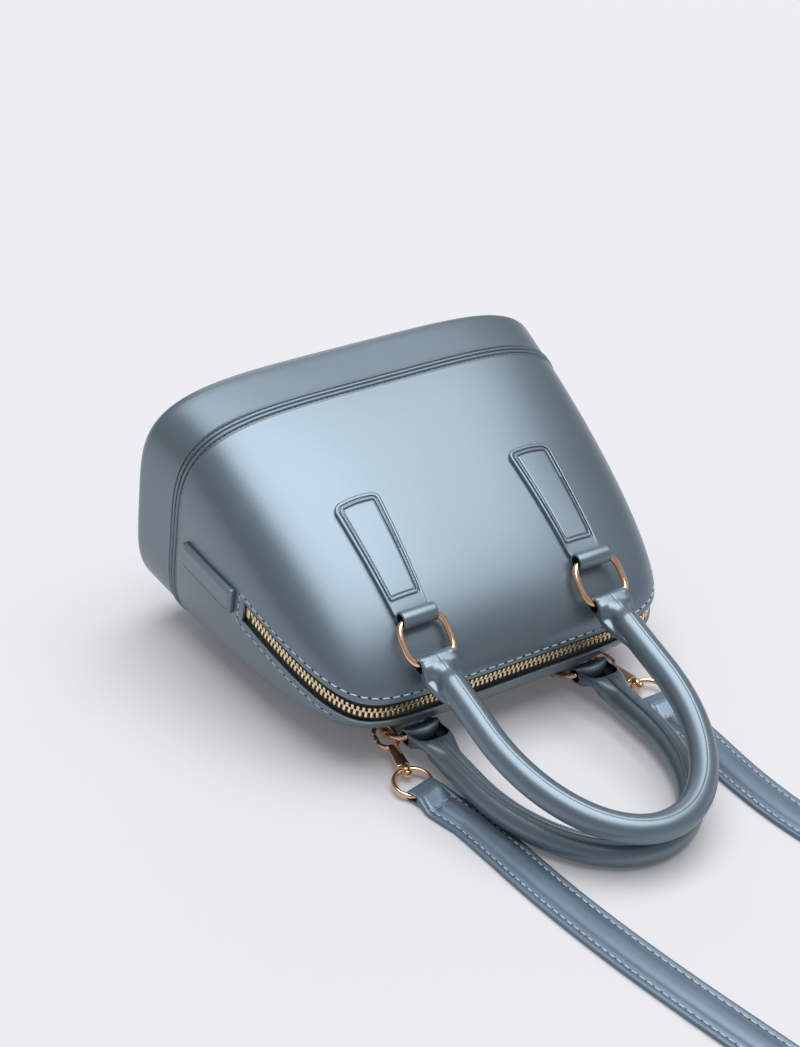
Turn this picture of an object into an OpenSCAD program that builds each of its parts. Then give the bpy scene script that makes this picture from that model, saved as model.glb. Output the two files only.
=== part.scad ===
// Top handle bag: a moulded dome satchel that lies on its back, with two tube handles,
// a zip round its top and a shoulder strap clipped to the rings of the back handle.

/* [Shell] */
// Width of the base over the gussets
base_w = 230; // [200:1:260]
// Width at the seam band above the base
seam_w = 217.6; // [190:0.5:240]
// Depth of the base, front to back
base_d = 132; // [110:1:150]
// Height from the base to the zip
bag_h = 178; // [160:1:200]
// Height of the seam band above the base
seam_z = 35; // [28:0.5:45]
// Depth of the shell across the two zip lips
lip_d = 11.2; // [10:0.2:13]
// Wall thickness of the moulding
wall = 1.8; // [1.4:0.1:2.6]
// Radius of the edge round the base
base_r = 8; // [5:0.5:12]
// How far the soft body leans to its front panel at the base
lean_base = 3.4; // [0:0.2:6]
// Height that each ridge of the seam band stands proud
ridge_h = 0.7; // [0.4:0.1:1.2]
// Width of one ridge of the seam band
ridge_w = 1.6; // [1.2:0.1:2.4]
// Clear distance between the two ridges
ridge_gap = 1.2; // [0.8:0.1:2]

/* [Base board] */
// Thickness of the stiff board inside the base
board_t = 2.4; // [1.5:0.1:4]
// Clearance from the board to the walls round it
board_gap = 1.5; // [0.8:0.1:4]

/* [Zip] */
// Width of the zip slot between its lips
slot_w = 12; // [11:0.2:14]
// Height at which the slot ends on each gusset
slot_z = 97; // [90:1:110]
// How far the slot sits in front of the middle at its ends
slot_shift = 5.5; // [0:0.5:7]
// Depth of the tape's middle below the outside of the shell
zip_depth = 3; // [2.8:0.1:3.4]
// Thickness of the tape
tape_t = 0.6; // [0.4:0.1:0.8]
// Distance from the middle of the zip to the tape's outer edge
tape_reach = 9.5; // [8.5:0.5:10]
// Width of one row of teeth
tooth_w = 2.5; // [2:0.1:3]
// Thickness of the teeth through the tape
tooth_t = 2.6; // [2:0.1:3]
// Gap between the two rows
row_gap = 0.8; // [0.7:0.1:1]
// Length of an end stop along the zip
stop_l = 3; // [2:0.5:4]

/* [Zip slider] */
// Length of the slider along the zip
slider_l = 10; // [8:0.5:13]
// Width of the slider
slider_w = 9; // [8:0.2:10]
// Thickness of each slider plate
slider_t = 1.1; // [0.9:0.1:1.6]
// Clearance from the slider to the teeth and the tape
slider_gap = 0.7; // [0.3:0.05:0.8]
// Thickness of the web that joins the slider's plates
web_t = 0.4; // [0.3:0.05:0.5]
// Radius of the pin that carries the pull
pull_pin_r = 0.7; // [0.6:0.05:0.9]
// Radial clearance of the pull on its pin
pull_gap = 0.08; // [0.05:0.01:0.1]
// Length of the pull from its pin
pull_l = 22; // [16:1:28]
// Width of the pull
pull_w = 6.4; // [5:0.2:8]
// Thickness of the pull
pull_t = 1.4; // [1:0.1:2]
// Angle at which the pull leans off the gusset
pull_angle = 11; // [10:1:25]
// Length of zip that the slider can run on the gusset
slider_travel = 30; // [20:1:32]

/* [Zip end flap] */
// Height of the flap's lower edge
flap_z = 46; // [42:1:55]
// Height of the flap's upper edge
flap_top_z = 90.5; // [80:0.5:92]
// Width of the flap
flap_w = 15; // [12:0.5:18]
// Thickness of the flap
flap_t = 2.4; // [1.6:0.1:3]

/* [Handle tabs] */
// Distance from the middle of the bag to each tab, ring and handle leg
tab_x = 48.2; // [40:0.1:55]
// Height of the tab's wide end
tab_low_z = 93.5; // [85:0.5:105]
// Height of the loop that holds the ring
loop_z = 157; // [150:0.5:162]
// Width of the tab at its wide end
tab_low_w = 24.8; // [18:0.2:28]
// Width of the tab at its loop
tab_loop_w = 17.8; // [14:0.2:20]
// How far the middle of the wide end bows out
tab_arch = 1.6; // [0.5:0.1:3]
// Thickness of the tab
tab_t = 2; // [1.4:0.1:3]
// Outer radius of the tab's loop
loop_r = 4.4; // [4:0.1:5.5]
// Radius of the hole through each loop
loop_bore_r = 3.3; // [3.2:0.1:3.6]
// How far the loop sinks into the tab
loop_sink = 0.9; // [0.5:0.1:1.2]

/* [Handle rings] */
// Width of a ring between the middles of its sides
ring_w = 24; // [22:0.5:28]
// Length of a ring between the middles of its bars
ring_l = 22.3; // [19:0.1:26]
// Diameter of the ring's wire
ring_wire = 3; // [2.4:0.1:3.4]
// Radius of the ring's corners on the wire's middle
ring_corner = 6; // [5:0.5:8]

/* [Handles] */
// Diameter of the handle tube
handle_d = 13.2; // [11:0.2:16]
// Length of the straight legs
leg_l = 44; // [35:1:60]
// Height of the arch above the legs
arch_l = 73; // [60:1:90]
// Width of the hood at each end of the handle
hood_w = 19; // [17:0.5:20]
// Outer radius of the loop inside the hood
hood_r = 4.7; // [4.2:0.1:5.5]
// Length over which the hood narrows to the tube
hood_l = 20; // [16:1:26]
// Width of the welt on the inner side of the tube
welt_w = 4.4; // [3:0.2:6]
// Height of the welt
welt_h = 1.2; // [0.6:0.1:2]
// Width of the hollow in the inner side of the hood
hollow_w = 11; // [8:0.5:12]

/* [How it lies] */
// Angle of the front rings from upright
front_ring_angle = -31.4; // [-36:0.2:-26]
// Angle of the back rings from upright
back_ring_angle = -34.5; // [-36:0.2:-30]
// Depth of the flats that the lying bag rests on
rest_flat = 0.3; // [0.2:0.05:0.5]
// Gap under the back handle and between the two handles
rest_gap = 0.4; // [0.2:0.1:1]

/* [Strap clasps] */
// Share of the ring's length at which the clasp hooks on
hook_share = 0.51; // [0.45:0.01:0.6]
// Distance of the wire from the middle of the clasp's mouth
hook_side = 1.5; // [0.8:0.1:2]
// Angle by which the left clasp turns outward
left_yaw = 8; // [0:1:14]
// Angle by which the right clasp turns outward
right_yaw = 14; // [0:1:16]
// Thickness of the clasp
clasp_t = 2.4; // [2.2:0.1:2.8]
// Width of the clasp at its swivel end
clasp_neck_w = 6.4; // [5:0.1:7]
// Width of the clasp under its mouth
clasp_w = 5.2; // [5:0.1:7]
// Length of the clasp from the swivel to its mouth
clasp_l = 16.4; // [15:0.1:18]
// Radius of the ends of the mouth
mouth_r = 3.7; // [3.5:0.1:4]
// Straight length of the mouth
mouth_l = 5.8; // [5:0.1:7]
// Width of the hook round the mouth
hook_t = 2.2; // [1.8:0.1:2.6]
// Thickness of the gate
gate_t = 1.1; // [0.9:0.05:1.2]
// Clearance round the gate
gate_gap = 0.15; // [0.1:0.05:0.2]
// Radius of the gate's pin
gate_pin_r = 0.7; // [0.6:0.05:0.8]
// Radial clearance of the gate on its pin
gate_pin_gap = 0.06; // [0.05:0.01:0.1]
// Radius of the gate's thumb stud
stud_r = 0.9; // [0.7:0.1:1]
// Length of the gate's thumb stud
stud_l = 2; // [1.5:0.1:2.5]
// Radius of the swivel post
post_r = 1.25; // [1:0.05:1.4]
// Radial clearance of the swivel collar on its post
post_gap = 0.08; // [0.05:0.01:0.1]
// Radius of the head on the swivel post
head_r = 2.1; // [1.9:0.1:2.5]
// Thickness of the head on the swivel post
head_t = 1.5; // [1.2:0.1:2]
// Radius of the swivel collar
collar_r = 2.3; // [2:0.1:2.6]
// Length of the swivel collar
collar_l = 3.6; // [3:0.1:5]
// End clearance of the swivel collar
collar_gap = 0.25; // [0.2:0.05:0.4]
// Radius of the swivel ring on its wire's middle
swivel_ring_r = 8.8; // [8.5:0.1:9.5]
// Diameter of the swivel ring's wire
swivel_wire = 2.4; // [2:0.1:2.8]

/* [Shoulder strap] */
// Width of the strap
strap_w = 20; // [18:0.5:22]
// Thickness of the padded middle
strap_t = 4.6; // [3.6:0.1:5.5]
// Thickness of the sewn edges
strap_edge_t = 2.4; // [2:0.1:3]
// Width of the padded middle
strap_pad_w = 10; // [8:0.5:12]
// Width of the loop that folds through the swivel ring
fold_w = 12.4; // [11:0.2:13]
// Thickness of one layer of the loop
fold_t = 1; // [0.8:0.1:1.2]
// Clear height inside the loop
fold_h = 3.8; // [3.6:0.1:4.4]
// Length of the pocket inside the loop
fold_l = 6.6; // [6:0.2:8]
// Length of the loop beyond its pocket
fold_tail = 13; // [10:0.5:16]
// Gap under the strap as it lies
strap_lift = 0.1; // [0.05:0.05:0.3]
// Angle by which the left end turns inward on its swivel ring
left_lead = 14; // [0:1:20]
// Straight length of the strap at each end
strap_lead_l = 12; // [10:1:16]

/* [Hidden] */

bag_colour = "#8FA3B2";
dark_colour = "#5E6E7A";
tape_colour = "#2A2226";
gold_colour = "#D9A074";
tooth_colour = "#CDA868";

// Exponents of the curves that shape the body
side_curve = 1.17;
side_square = 10.6;
depth_curve = 1.18;
depth_square = 2.08;
plan_square_base = 4.4;
plan_square_top = 2.63;
plan_n = 64;
over = 1;
room = 400;

function rise(z) = max(0, min(1, (z - seam_z) / (bag_h - seam_z)));
function half_w(z) = z < seam_z ? (base_w + (seam_w - base_w) * z / seam_z) / 2
    : seam_w / 2 * pow(1 - pow(rise(z), side_curve), 1 / side_square);
function half_d(z) = lip_d / 2 + (base_d - lip_d) / 2
    * pow(1 - pow(rise(z), depth_curve), 1 / depth_square);
function lean(z) = lean_base * (1 - z / bag_h);
function plan_square(z) = plan_square_base + (plan_square_top - plan_square_base) * rise(z);
function edge_in(z) = z < base_r ? base_r - sqrt(base_r * base_r - pow(base_r - z, 2)) : 0;
// Depth of the surface in front of the leaning middle, and its distance out to the gusset
function surf_y(x, z) = half_d(z) * pow(max(0, 1 - pow(abs(x) / half_w(z), plan_square(z))),
    1 / plan_square(z));
function surf_x(y, z) = half_w(z) * pow(max(0, 1 - pow(abs(y) / half_d(z), plan_square(z))),
    1 / plan_square(z));

// One level of the body, drawn in from the outside by a wall and pushed out by a ridge
function level(z, at, inset, proud) = [for (i = [0 : plan_n - 1])
    let (t = 360 * (i + 0.5) / plan_n, n = 2 / plan_square(z),
         a = half_w(z) - edge_in(z) - inset + proud, b = half_d(z) - edge_in(z) - inset + proud)
    [a * sign(cos(t)) * pow(abs(cos(t)), n), lean(at) + b * sign(sin(t)) * pow(abs(sin(t)), n), at]];

// A closed skin over rings of points that all have the same count; the ends of a strip, whose
// rings run out along one side and back along the other, are closed by a row of triangles
module skin(rings, strip = false) {
    n = len(rings[0]);
    m = len(rings);
    last = (m - 1) * n;
    polyhedron(
        points = [for (r = rings) each r],
        faces = concat(
            strip ? [for (k = [0 : n / 2 - 2]) each [[k, k + 1, n - 1 - k], [k + 1, n - 2 - k, n - 1 - k]]]
                : [[for (i = [0 : n - 1]) i]],
            [for (j = [0 : m - 2]) for (i = [0 : n - 1]) each
                [[j * n + i, (j + 1) * n + i, j * n + (i + 1) % n],
                 [(j + 1) * n + i, (j + 1) * n + (i + 1) % n, j * n + (i + 1) % n]]],
            strip ? [for (k = [0 : n / 2 - 2]) each [[last + n - 1 - k, last + k + 1, last + k],
                    [last + n - 1 - k, last + n - 2 - k, last + k + 1]]]
                : [[for (i = [n - 1 : -1 : 0]) last + i]]));
}

// A ring of points in the order that keeps its skin facing out on one side or the other
function turned(ring, side) = side > 0 ? ring : [for (i = [len(ring) - 1 : -1 : 0]) ring[i]];

// The lying bag rests on the wide ends of its back tabs and on its back loops
function loop_y(side) = lean(loop_z)
    + side * (surf_y(tab_x - tab_loop_w / 2, loop_z) + tab_t + loop_r - loop_sink);
rest_x = tab_x - tab_low_w / 2;
function tab_drop(t) = max([for (i = [0 : 12]) let (z = tab_low_z + tab_arch * (1 - i / 12) + 2 * i)
    z * sin(t) + (surf_y(rest_x, z) + tab_t - lean(z)) * cos(t)]);
function loop_drop(t) = loop_z * sin(t) - loop_y(-1) * cos(t) + loop_r;
function level_tilt(lo, hi, n) = let (t = (lo + hi) / 2)
    n == 0 ? t : tab_drop(t) > loop_drop(t) ? level_tilt(t, hi, n - 1) : level_tilt(lo, t, n - 1);
lie_tilt = level_tilt(5, 25, 24);
lay_z = loop_drop(lie_tilt) - rest_flat;

function hood_pos(side, angle) = [loop_y(side) + side * ring_l * sin(angle), loop_z + ring_l * cos(angle)];
front_hood = hood_pos(1, front_ring_angle);
back_hood = hood_pos(-1, back_ring_angle);
function row_z(p) = p[0] * cos(lie_tilt) - p[1] * sin(lie_tilt) + lay_z;
handle_l = leg_l + arch_l;
back_rest_z = handle_d / 2 + rest_gap;
front_rest_z = back_rest_z + handle_d + 2 * welt_h + rest_gap;
back_handle_angle = asin((row_z(back_hood) - back_rest_z) / handle_l) - lie_tilt;
front_handle_angle = lie_tilt - asin((row_z(front_hood) - front_rest_z) / handle_l);
front_reach = (front_hood[1] + handle_l * cos(front_handle_angle)) * cos(lie_tilt)
    + (front_hood[0] + handle_l * sin(front_handle_angle)) * sin(lie_tilt) + handle_d / 2;
back_reach = (back_hood[1] + handle_l * cos(back_handle_angle)) * cos(lie_tilt)
    + (back_hood[0] - handle_l * sin(back_handle_angle)) * sin(lie_tilt) + handle_d / 2;
base_reach = (base_d / 2 - lean_base) * sin(lie_tilt);
lay_y = (max(front_reach, back_reach) - base_reach) / 2;
function row(p) = [p[0], lay_y - p[2] * cos(lie_tilt) - p[1] * sin(lie_tilt),
    p[1] * cos(lie_tilt) - p[2] * sin(lie_tilt) + lay_z];

module on_bag() translate([0, lay_y, lay_z]) rotate([90 + lie_tilt, 0, 0]) children();
module above_ground() intersection() {
    children();
    translate([-room, -room, 0]) cube(2 * room);
}
// A frame whose Y runs along a ring or a handle that leans by an angle on one side of the bag
module swing(side, pos, angle) translate([0, pos[0], pos[1]])
    rotate([atan2(cos(angle), side * sin(angle)), 0, 0]) children();

// The zip runs along the outline of the gussets and the top, just under the outside
function zip_turn(z) = asin(pow(rise(z), side_curve / 2));
function outline_point(t) = [seam_w / 2 * pow(cos(t), 2 / side_square),
    seam_z + (bag_h - seam_z) * pow(sin(t), 2 / side_curve)];
turn_step = 0.5;
function outline_normal(t) = let (d = outline_point(t + turn_step) - outline_point(t - turn_step))
    [-d[1], d[0]] / norm(d);
function zip_point(t, depth) = outline_point(t) + depth * outline_normal(t);
zip_to = 88.5;
zip_steps = 16;
function slot_y(z) = lean(z) + slot_shift * (bag_h - z) / (bag_h - slot_z);
// Points of the zip with their normals, from a height on one gusset over the top to the other
function zip_half(z0) = [for (i = [0 : zip_steps]) let (f = i / zip_steps,
    t = zip_turn(z0) + (zip_to - zip_turn(z0)) * f * (3 - f) / 2,
    p = zip_point(t, zip_depth), n = outline_normal(t)) [p[0], p[1], n[0], n[1]]];
function over_top(half) = concat(half, [for (i = [len(half) - 1 : -1 : 0])
    [-half[i][0], half[i][1], -half[i][2], half[i][3]]]);
// A bar with a flat section that follows the zip between two offsets across it
module zip_bar(stations, y0, y1, t) skin([for (s = stations)
    let (c = slot_y(s[1]), o = t / 2)
    [[s[0] - s[2] * o, c + y0, s[1] - s[3] * o], [s[0] - s[2] * o, c + y1, s[1] - s[3] * o],
     [s[0] + s[2] * o, c + y1, s[1] + s[3] * o], [s[0] + s[2] * o, c + y0, s[1] + s[3] * o]]]);

shell_low = [for (i = [0 : 5]) base_r * (1 - cos(90 * i / 5))];
ridge_z = [seam_z - ridge_gap / 2 - ridge_w, seam_z + ridge_gap / 2];
shell_mid = [for (i = [1 : 13]) let (s = i / 13) seam_z + ridge_gap / 2 + ridge_w
    + (bag_h - seam_z - ridge_gap / 2 - ridge_w) * (1 - pow(1 - s, 2.2)) * 0.9995];
inner_n = 14;
inner_top = bag_h - wall;

module shell_solid() {
    difference() {
        skin(concat(
            [for (z = shell_low) level(z, z, 0, 0)],
            [level((base_r + ridge_z[0]) / 2, (base_r + ridge_z[0]) / 2, 0, 0)],
            [for (r = ridge_z) each
                [level(r, r, 0, 0), level(r + ridge_w / 4, r + ridge_w / 4, 0, ridge_h),
                 level(r + ridge_w * 3 / 4, r + ridge_w * 3 / 4, 0, ridge_h),
                 level(r + ridge_w, r + ridge_w, 0, 0)]],
            [for (z = shell_mid) level(z, z, 0, 0)]));
        skin([for (i = [0 : inner_n]) let (s = i / inner_n,
            at = wall + (inner_top - wall) * (1 - pow(1 - s, 2)))
            level(min(at + wall, bag_h * 0.9997), at, wall, 0)]);
        slot_cut();
    }
}
slot_tilt = atan2(slot_y(slot_z) - slot_y(bag_h), bag_h - slot_z);
module slot_cut() translate([0, slot_y(slot_z), slot_z]) rotate([slot_tilt, 0, 0])
    translate([-room / 2, -slot_w / 2, 0]) cube([room, slot_w, room]);

module shell() color(bag_colour) on_bag() shell_solid();

board_n = 48;
module base_board() color(dark_colour) on_bag() translate([0, 0, wall])
    linear_extrude(board_t) polygon([for (i = [0 : board_n - 1])
        let (t = 360 * i / board_n, n = 2 / plan_square_base, inset = wall + board_gap + edge_in(wall),
             a = base_w / 2 - inset, b = base_d / 2 - inset)
        [a * sign(cos(t)) * pow(abs(cos(t)), n), lean_base + b * sign(sin(t)) * pow(abs(sin(t)), n)]]);

row_in = row_gap / 2;
row_out = row_gap / 2 + tooth_w;
tape_low = slot_z - stop_l;
seat_gap = 0.3;
stop_low = slot_z + slider_gap;
stop_high = stop_low + stop_l;
teeth_low = stop_high + slider_gap;
module on_side(side) mirror([side < 0 ? 1 : 0, 0, 0]) children();
// How deep the inside of the wall lies under the outline, off the middle by y
function hollow_at(x, y, z) = let (a = half_w(z + wall) - wall, b = half_d(z + wall) - wall,
    n = plan_square(z + wall))
    z + wall < bag_h && a > 0 && b > 0 && pow(abs(x) / a, n) + pow(abs(y - lean(z)) / b, n) < 1;
function wall_depth(s, y, lo, hi, k) = let (m = (lo + hi) / 2, d = m - zip_depth) k == 0 ? hi
    : hollow_at(s[0] + d * s[2], y, s[1] + d * s[3]) ? wall_depth(s, y, lo, m, k - 1) : wall_depth(s, y, m, hi, k - 1);
// The tape dips under the wall so that it clears the inside of it by the seat gap
function tape_dip(s, y) = max(0, wall_depth(s, slot_y(s[1]) + y, 1, 12, 12) + tape_t / 2 + seat_gap - zip_depth);
function tape_point(s, y, o) = let (d = tape_dip(s, y) + o)
    [s[0] + s[2] * d, slot_y(s[1]) + y, s[1] + s[3] * d];
module zip_tape(side) color(tape_colour) on_bag() skin([for (s = over_top(zip_half(tape_low)))
    turned(concat([for (y = [row_out, slot_w / 2 - tape_t, tape_reach]) tape_point(s, side * y, -tape_t / 2)],
        [for (y = [tape_reach, slot_w / 2 - tape_t, row_out]) tape_point(s, side * y, tape_t / 2)]), side)],
    strip = true);
module zip_teeth(side) color(tooth_colour) on_bag() zip_bar(over_top(zip_half(teeth_low)),
    min(side * row_in, side * row_out), max(side * row_in, side * row_out), tooth_t);
module zip_stop(side) color(tooth_colour) on_bag() on_side(side)
    zip_bar([for (z = [stop_low, stop_high]) let (t = zip_turn(z), p = zip_point(t, zip_depth),
        n = outline_normal(t)) [p[0], p[1], n[0], n[1]]], -row_out, row_out, tooth_t);

// The slider runs on a straight chord of the right gusset, between two points of the zip
slider_low = zip_point(zip_turn(teeth_low + slider_gap + slider_l / 2), zip_depth);
slider_high = zip_point(zip_turn(teeth_low + slider_gap + slider_l / 2 + slider_travel), zip_depth);
chord = slider_high - slider_low;
chord_lean = atan2(-chord[0], chord[1]);
slide_y = slot_y(slider_low[1]) - slot_y(slider_high[1]);
chord_slant = atan2(slide_y, norm(chord));
chord_bow = norm(zip_point(zip_turn((slider_low[1] + slider_high[1]) / 2), zip_depth)
    - (slider_low + slider_high) / 2);
// A frame on the slider: X across the zip to the front, Y up along it, Z out of the gusset
module on_slider() translate([slider_low[0], slot_y(slider_low[1]), slider_low[1]])
    rotate([0, 90 - chord_lean, 0]) rotate([0, 0, 90 + chord_slant])
    translate([0, 0, chord_bow / 2]) children();
plate_in = tooth_t / 2 + slider_gap;
plate_out = plate_in + slider_t;
hub_r = pull_pin_r + pull_gap + 0.7;
hub_w = 3.4;
pin_z = plate_out + hub_r + slider_gap;
lug_in = hub_w / 2 + slider_gap / 2;
lug_w = 1.1;
nose_share = 0.6;
module slider_plate() linear_extrude(slider_t) polygon([
    [-slider_w / 2, -slider_l / 2 * nose_share], [-slider_w / 2 * nose_share, -slider_l / 2],
    [slider_w / 2 * nose_share, -slider_l / 2], [slider_w / 2, -slider_l / 2 * nose_share],
    [slider_w / 2, slider_l / 2 * nose_share], [slider_w / 2 * nose_share, slider_l / 2],
    [-slider_w / 2 * nose_share, slider_l / 2], [-slider_w / 2, slider_l / 2 * nose_share]]);
module cross_pin(x, z, w, r) translate([x, 0, z]) rotate([0, 90, 0]) cylinder(h = w, r = r, $fn = 48);
module zip_slider() color(gold_colour) on_bag() on_slider() {
    translate([0, 0, plate_in]) slider_plate();
    translate([0, 0, -plate_out]) slider_plate();
    translate([-web_t / 2, -slider_l / 2, -plate_in]) cube([web_t, slider_l, 2 * plate_in]);
    for (x = [-lug_in - lug_w, lug_in]) {
        translate([x, -hub_r, plate_out]) cube([lug_w, 2 * hub_r, pin_z - plate_out]);
        cross_pin(x, pin_z, lug_w, hub_r);
    }
    cross_pin(-lug_in - lug_w / 2, pin_z, 2 * lug_in + lug_w, pull_pin_r);
}
module zip_pull() color(gold_colour) on_bag() on_slider() translate([0, 0, pin_z])
    rotate([-pull_angle, 0, 0]) difference() {
        union() {
            cross_pin(-hub_w / 2, 0, hub_w, hub_r);
            translate([-hub_w / 2, -pull_l / 4, -pull_t / 2]) cube([hub_w, pull_l / 4, pull_t]);
            translate([-pull_w / 2, -pull_l + pull_w / 2, -pull_t / 2])
                cube([pull_w, pull_l * 3 / 4 - pull_w / 2, pull_t]);
            translate([0, -pull_l + pull_w / 2, -pull_t / 2]) cylinder(h = pull_t, r = pull_w / 2, $fn = 64);
        }
        cross_pin(-hub_w, 0, 2 * hub_w, pull_pin_r + pull_gap);
    }

// The flap lies on the gusset under the end of the zip
flap_low_shift = 0.5;
flap_n = 8;
function flap_y(z) = lean(z) + flap_low_shift + (slot_shift + flap_low_shift) * (z - flap_z) / (slot_z - flap_z);
module zip_flap(side) color(bag_colour) on_bag() on_side(side) skin([for (i = [0 : flap_n])
    let (z = flap_z + (flap_top_z - flap_z) * i / flap_n, t = (i == flap_n || i == 0) ? flap_t / 2 : flap_t)
    concat([for (q = [-2 : 2]) let (y = flap_y(z) + q * flap_w / 4)
                [surf_x(y - lean(z), z) + seat_gap + t, y, z]],
           [for (q = [2 : -1 : -2]) let (y = flap_y(z) + q * flap_w / 4)
                [surf_x(y - lean(z), z) + seat_gap, y, z]])], strip = true);

// A tab follows the panel and ends in the loop that holds a ring
tab_n = 9;
function tab_half(z) = (tab_low_w + (tab_loop_w - tab_low_w) * (z - tab_low_z) / (loop_z - tab_low_z)) / 2 - seat_gap;
function tab_top(x, z, s) = surf_y(x, z) + tab_t
    + s * s * max(0, surf_y(tab_x - tab_half(z), z) - surf_y(x, z));
module tab_plate(side) skin([for (i = [0 : tab_n]) let (s = i / tab_n,
        z0 = tab_low_z + (loop_z - tab_low_z) * s)
    turned(concat(
        [for (q = [-2 : 2]) let (x = tab_x + q / 2 * tab_half(z0), z = z0 + tab_arch * (1 - s) * q * q / 4)
            [x, lean(z) + side * (surf_y(x, z) + seat_gap), z]],
        [for (q = [2 : -1 : -2]) let (x = tab_x + q / 2 * tab_half(z0), z = z0 + tab_arch * (1 - s) * q * q / 4)
            [x, lean(z) + side * tab_top(x, z, s), z]]), side)], strip = true);
module tab_solid(side) difference() {
    union() {
        tab_plate(side);
        translate([tab_x - tab_loop_w / 2, loop_y(side), loop_z]) rotate([0, 90, 0])
            cylinder(h = tab_loop_w, r = loop_r, $fn = 64);
    }
    translate([tab_x - tab_low_w, loop_y(side), loop_z]) rotate([0, 90, 0])
        cylinder(h = 2 * tab_low_w, r = loop_bore_r, $fn = 64);
}
module front_tab(hand) color(bag_colour) on_bag() on_side(hand) tab_solid(1);
module back_tab(hand) color(bag_colour) above_ground() on_bag() on_side(hand) tab_solid(-1);

// A ring of round wire, drawn in a frame whose Y runs from the tab's loop to the handle
ring_side = ring_w / 2;
module ring_bar(x, y, along, l) translate([x, y, 0]) rotate(along ? [0, 90, 0] : [-90, 0, 0])
    cylinder(h = l, r = ring_wire / 2, $fn = 48);
module ring_bend(x, y, turn) translate([x, y, 0]) rotate([0, 0, turn]) rotate_extrude(angle = 90, $fn = 64)
    translate([ring_corner, 0]) circle(r = ring_wire / 2, $fn = 32);
module wire_ring() {
    for (y = [0, ring_l]) ring_bar(-ring_side + ring_corner, y, true, ring_w - 2 * ring_corner);
    for (x = [-ring_side, ring_side]) ring_bar(x, ring_corner, false, ring_l - 2 * ring_corner);
    ring_bend(ring_side - ring_corner, ring_l - ring_corner, 0);
    ring_bend(-ring_side + ring_corner, ring_l - ring_corner, 90);
    ring_bend(-ring_side + ring_corner, ring_corner, 180);
    ring_bend(ring_side - ring_corner, ring_corner, 270);
}
module ring_at(side, hand) color(gold_colour) on_bag()
    swing(side, [loop_y(side), loop_z], side > 0 ? front_ring_angle : back_ring_angle)
    translate([hand * tab_x, 0, 0]) wire_ring();

// A handle: a tube with a welt on its inner side and a flattened hood at each end
arch_n = 26;
round_n = 14;
hood_steps = 5;
welt_fade_share = 0.15;
function mix(a, b, f) = a + (b - a) * f;
function ease(f) = f * f * (3 - 2 * f);
// One point of the middle line, its outward direction and its share of the tube's full form
hood_stations = [for (i = [0 : hood_steps]) let (f = i / hood_steps) [-tab_x, f * hood_l, -1, 0, f]];
arch_stations = [for (i = [0 : arch_n]) let (u = 180 - 180 * i / arch_n,
    n = [arch_l * cos(u), tab_x * sin(u)] / norm([arch_l * cos(u), tab_x * sin(u)]))
    [tab_x * cos(u), leg_l + arch_l * sin(u), n[0], n[1], 1]];
right_stations = [for (i = [hood_steps : -1 : 0]) let (s = hood_stations[i]) [-s[0], s[1], -s[2], s[3], s[4]]];
function handle_ring(s, up) = let (f = ease(s[4]), a = mix(hood_w / 2 - seat_gap, handle_d / 2, f),
        b = mix(hood_r - seat_gap, handle_d / 2, f), n = 2 / mix(5, 2, f),
        h = welt_h * mix(welt_fade_share, 1, f), k = asin(pow(welt_w / 2 / a, 1 / n)),
        flat = b * pow(cos(k), n))
    turned(concat(
        [for (i = [0 : round_n - 1]) let (t = 90 + k + (360 - 2 * k) * i / (round_n - 1),
            e = a * sign(cos(t)) * pow(abs(cos(t)), n), v = b * sign(sin(t)) * pow(abs(sin(t)), n))
            [s[0] + s[2] * e, s[1] + s[3] * e, up * v]],
        [for (e = [welt_w / 2, -welt_w / 2]) [s[0] + s[2] * e, s[1] + s[3] * e, up * (flat + h)]]), up);
hollow_low = hood_r + 0.8;
hollow_mid = hollow_low + hollow_w / 2;
module handle(side) difference() {
    union() {
        skin([for (s = concat(hood_stations, arch_stations, right_stations)) handle_ring(s, side)]);
        for (h = [-1, 1]) translate([h * tab_x - hood_w / 2, 0, 0]) rotate([0, 90, 0])
            cylinder(h = hood_w, r = hood_r, $fn = 64);
    }
    for (h = [-1, 1]) translate([h * tab_x, 0, 0]) {
        translate([-hood_w, 0, 0]) rotate([0, 90, 0]) cylinder(h = 2 * hood_w, r = loop_bore_r, $fn = 64);
        translate([0, hollow_mid, side > 0 ? 1 : -1 - handle_d]) cylinder(h = handle_d, r = hollow_w / 2, $fn = 64);
    }
}
module front_handle() color(bag_colour) on_bag() swing(1, front_hood, front_handle_angle) handle(1);
module back_handle() color(bag_colour) on_bag() swing(-1, back_hood, back_handle_angle) handle(-1);

// Each clasp hooks on the outer side of a back ring and slopes down to the ground
wire_at = row([tab_x + ring_side, loop_y(-1) - ring_l * hook_share * sin(back_ring_angle),
    loop_z + ring_l * hook_share * cos(back_ring_angle)]);
mouth_mid = clasp_l + mouth_r + mouth_l / 2;
wire_low = strap_lift + fold_t + fold_h / 2;
climb = asin((wire_at[2] - wire_low) / (mouth_mid + 2 * swivel_ring_r));
function clasp_dir(yaw) = [-sin(yaw) * cos(climb), cos(yaw) * cos(climb), sin(climb)];
function swivel_at(yaw) = wire_at + [hook_side, 0, 0] - mouth_mid * clasp_dir(yaw);
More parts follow.
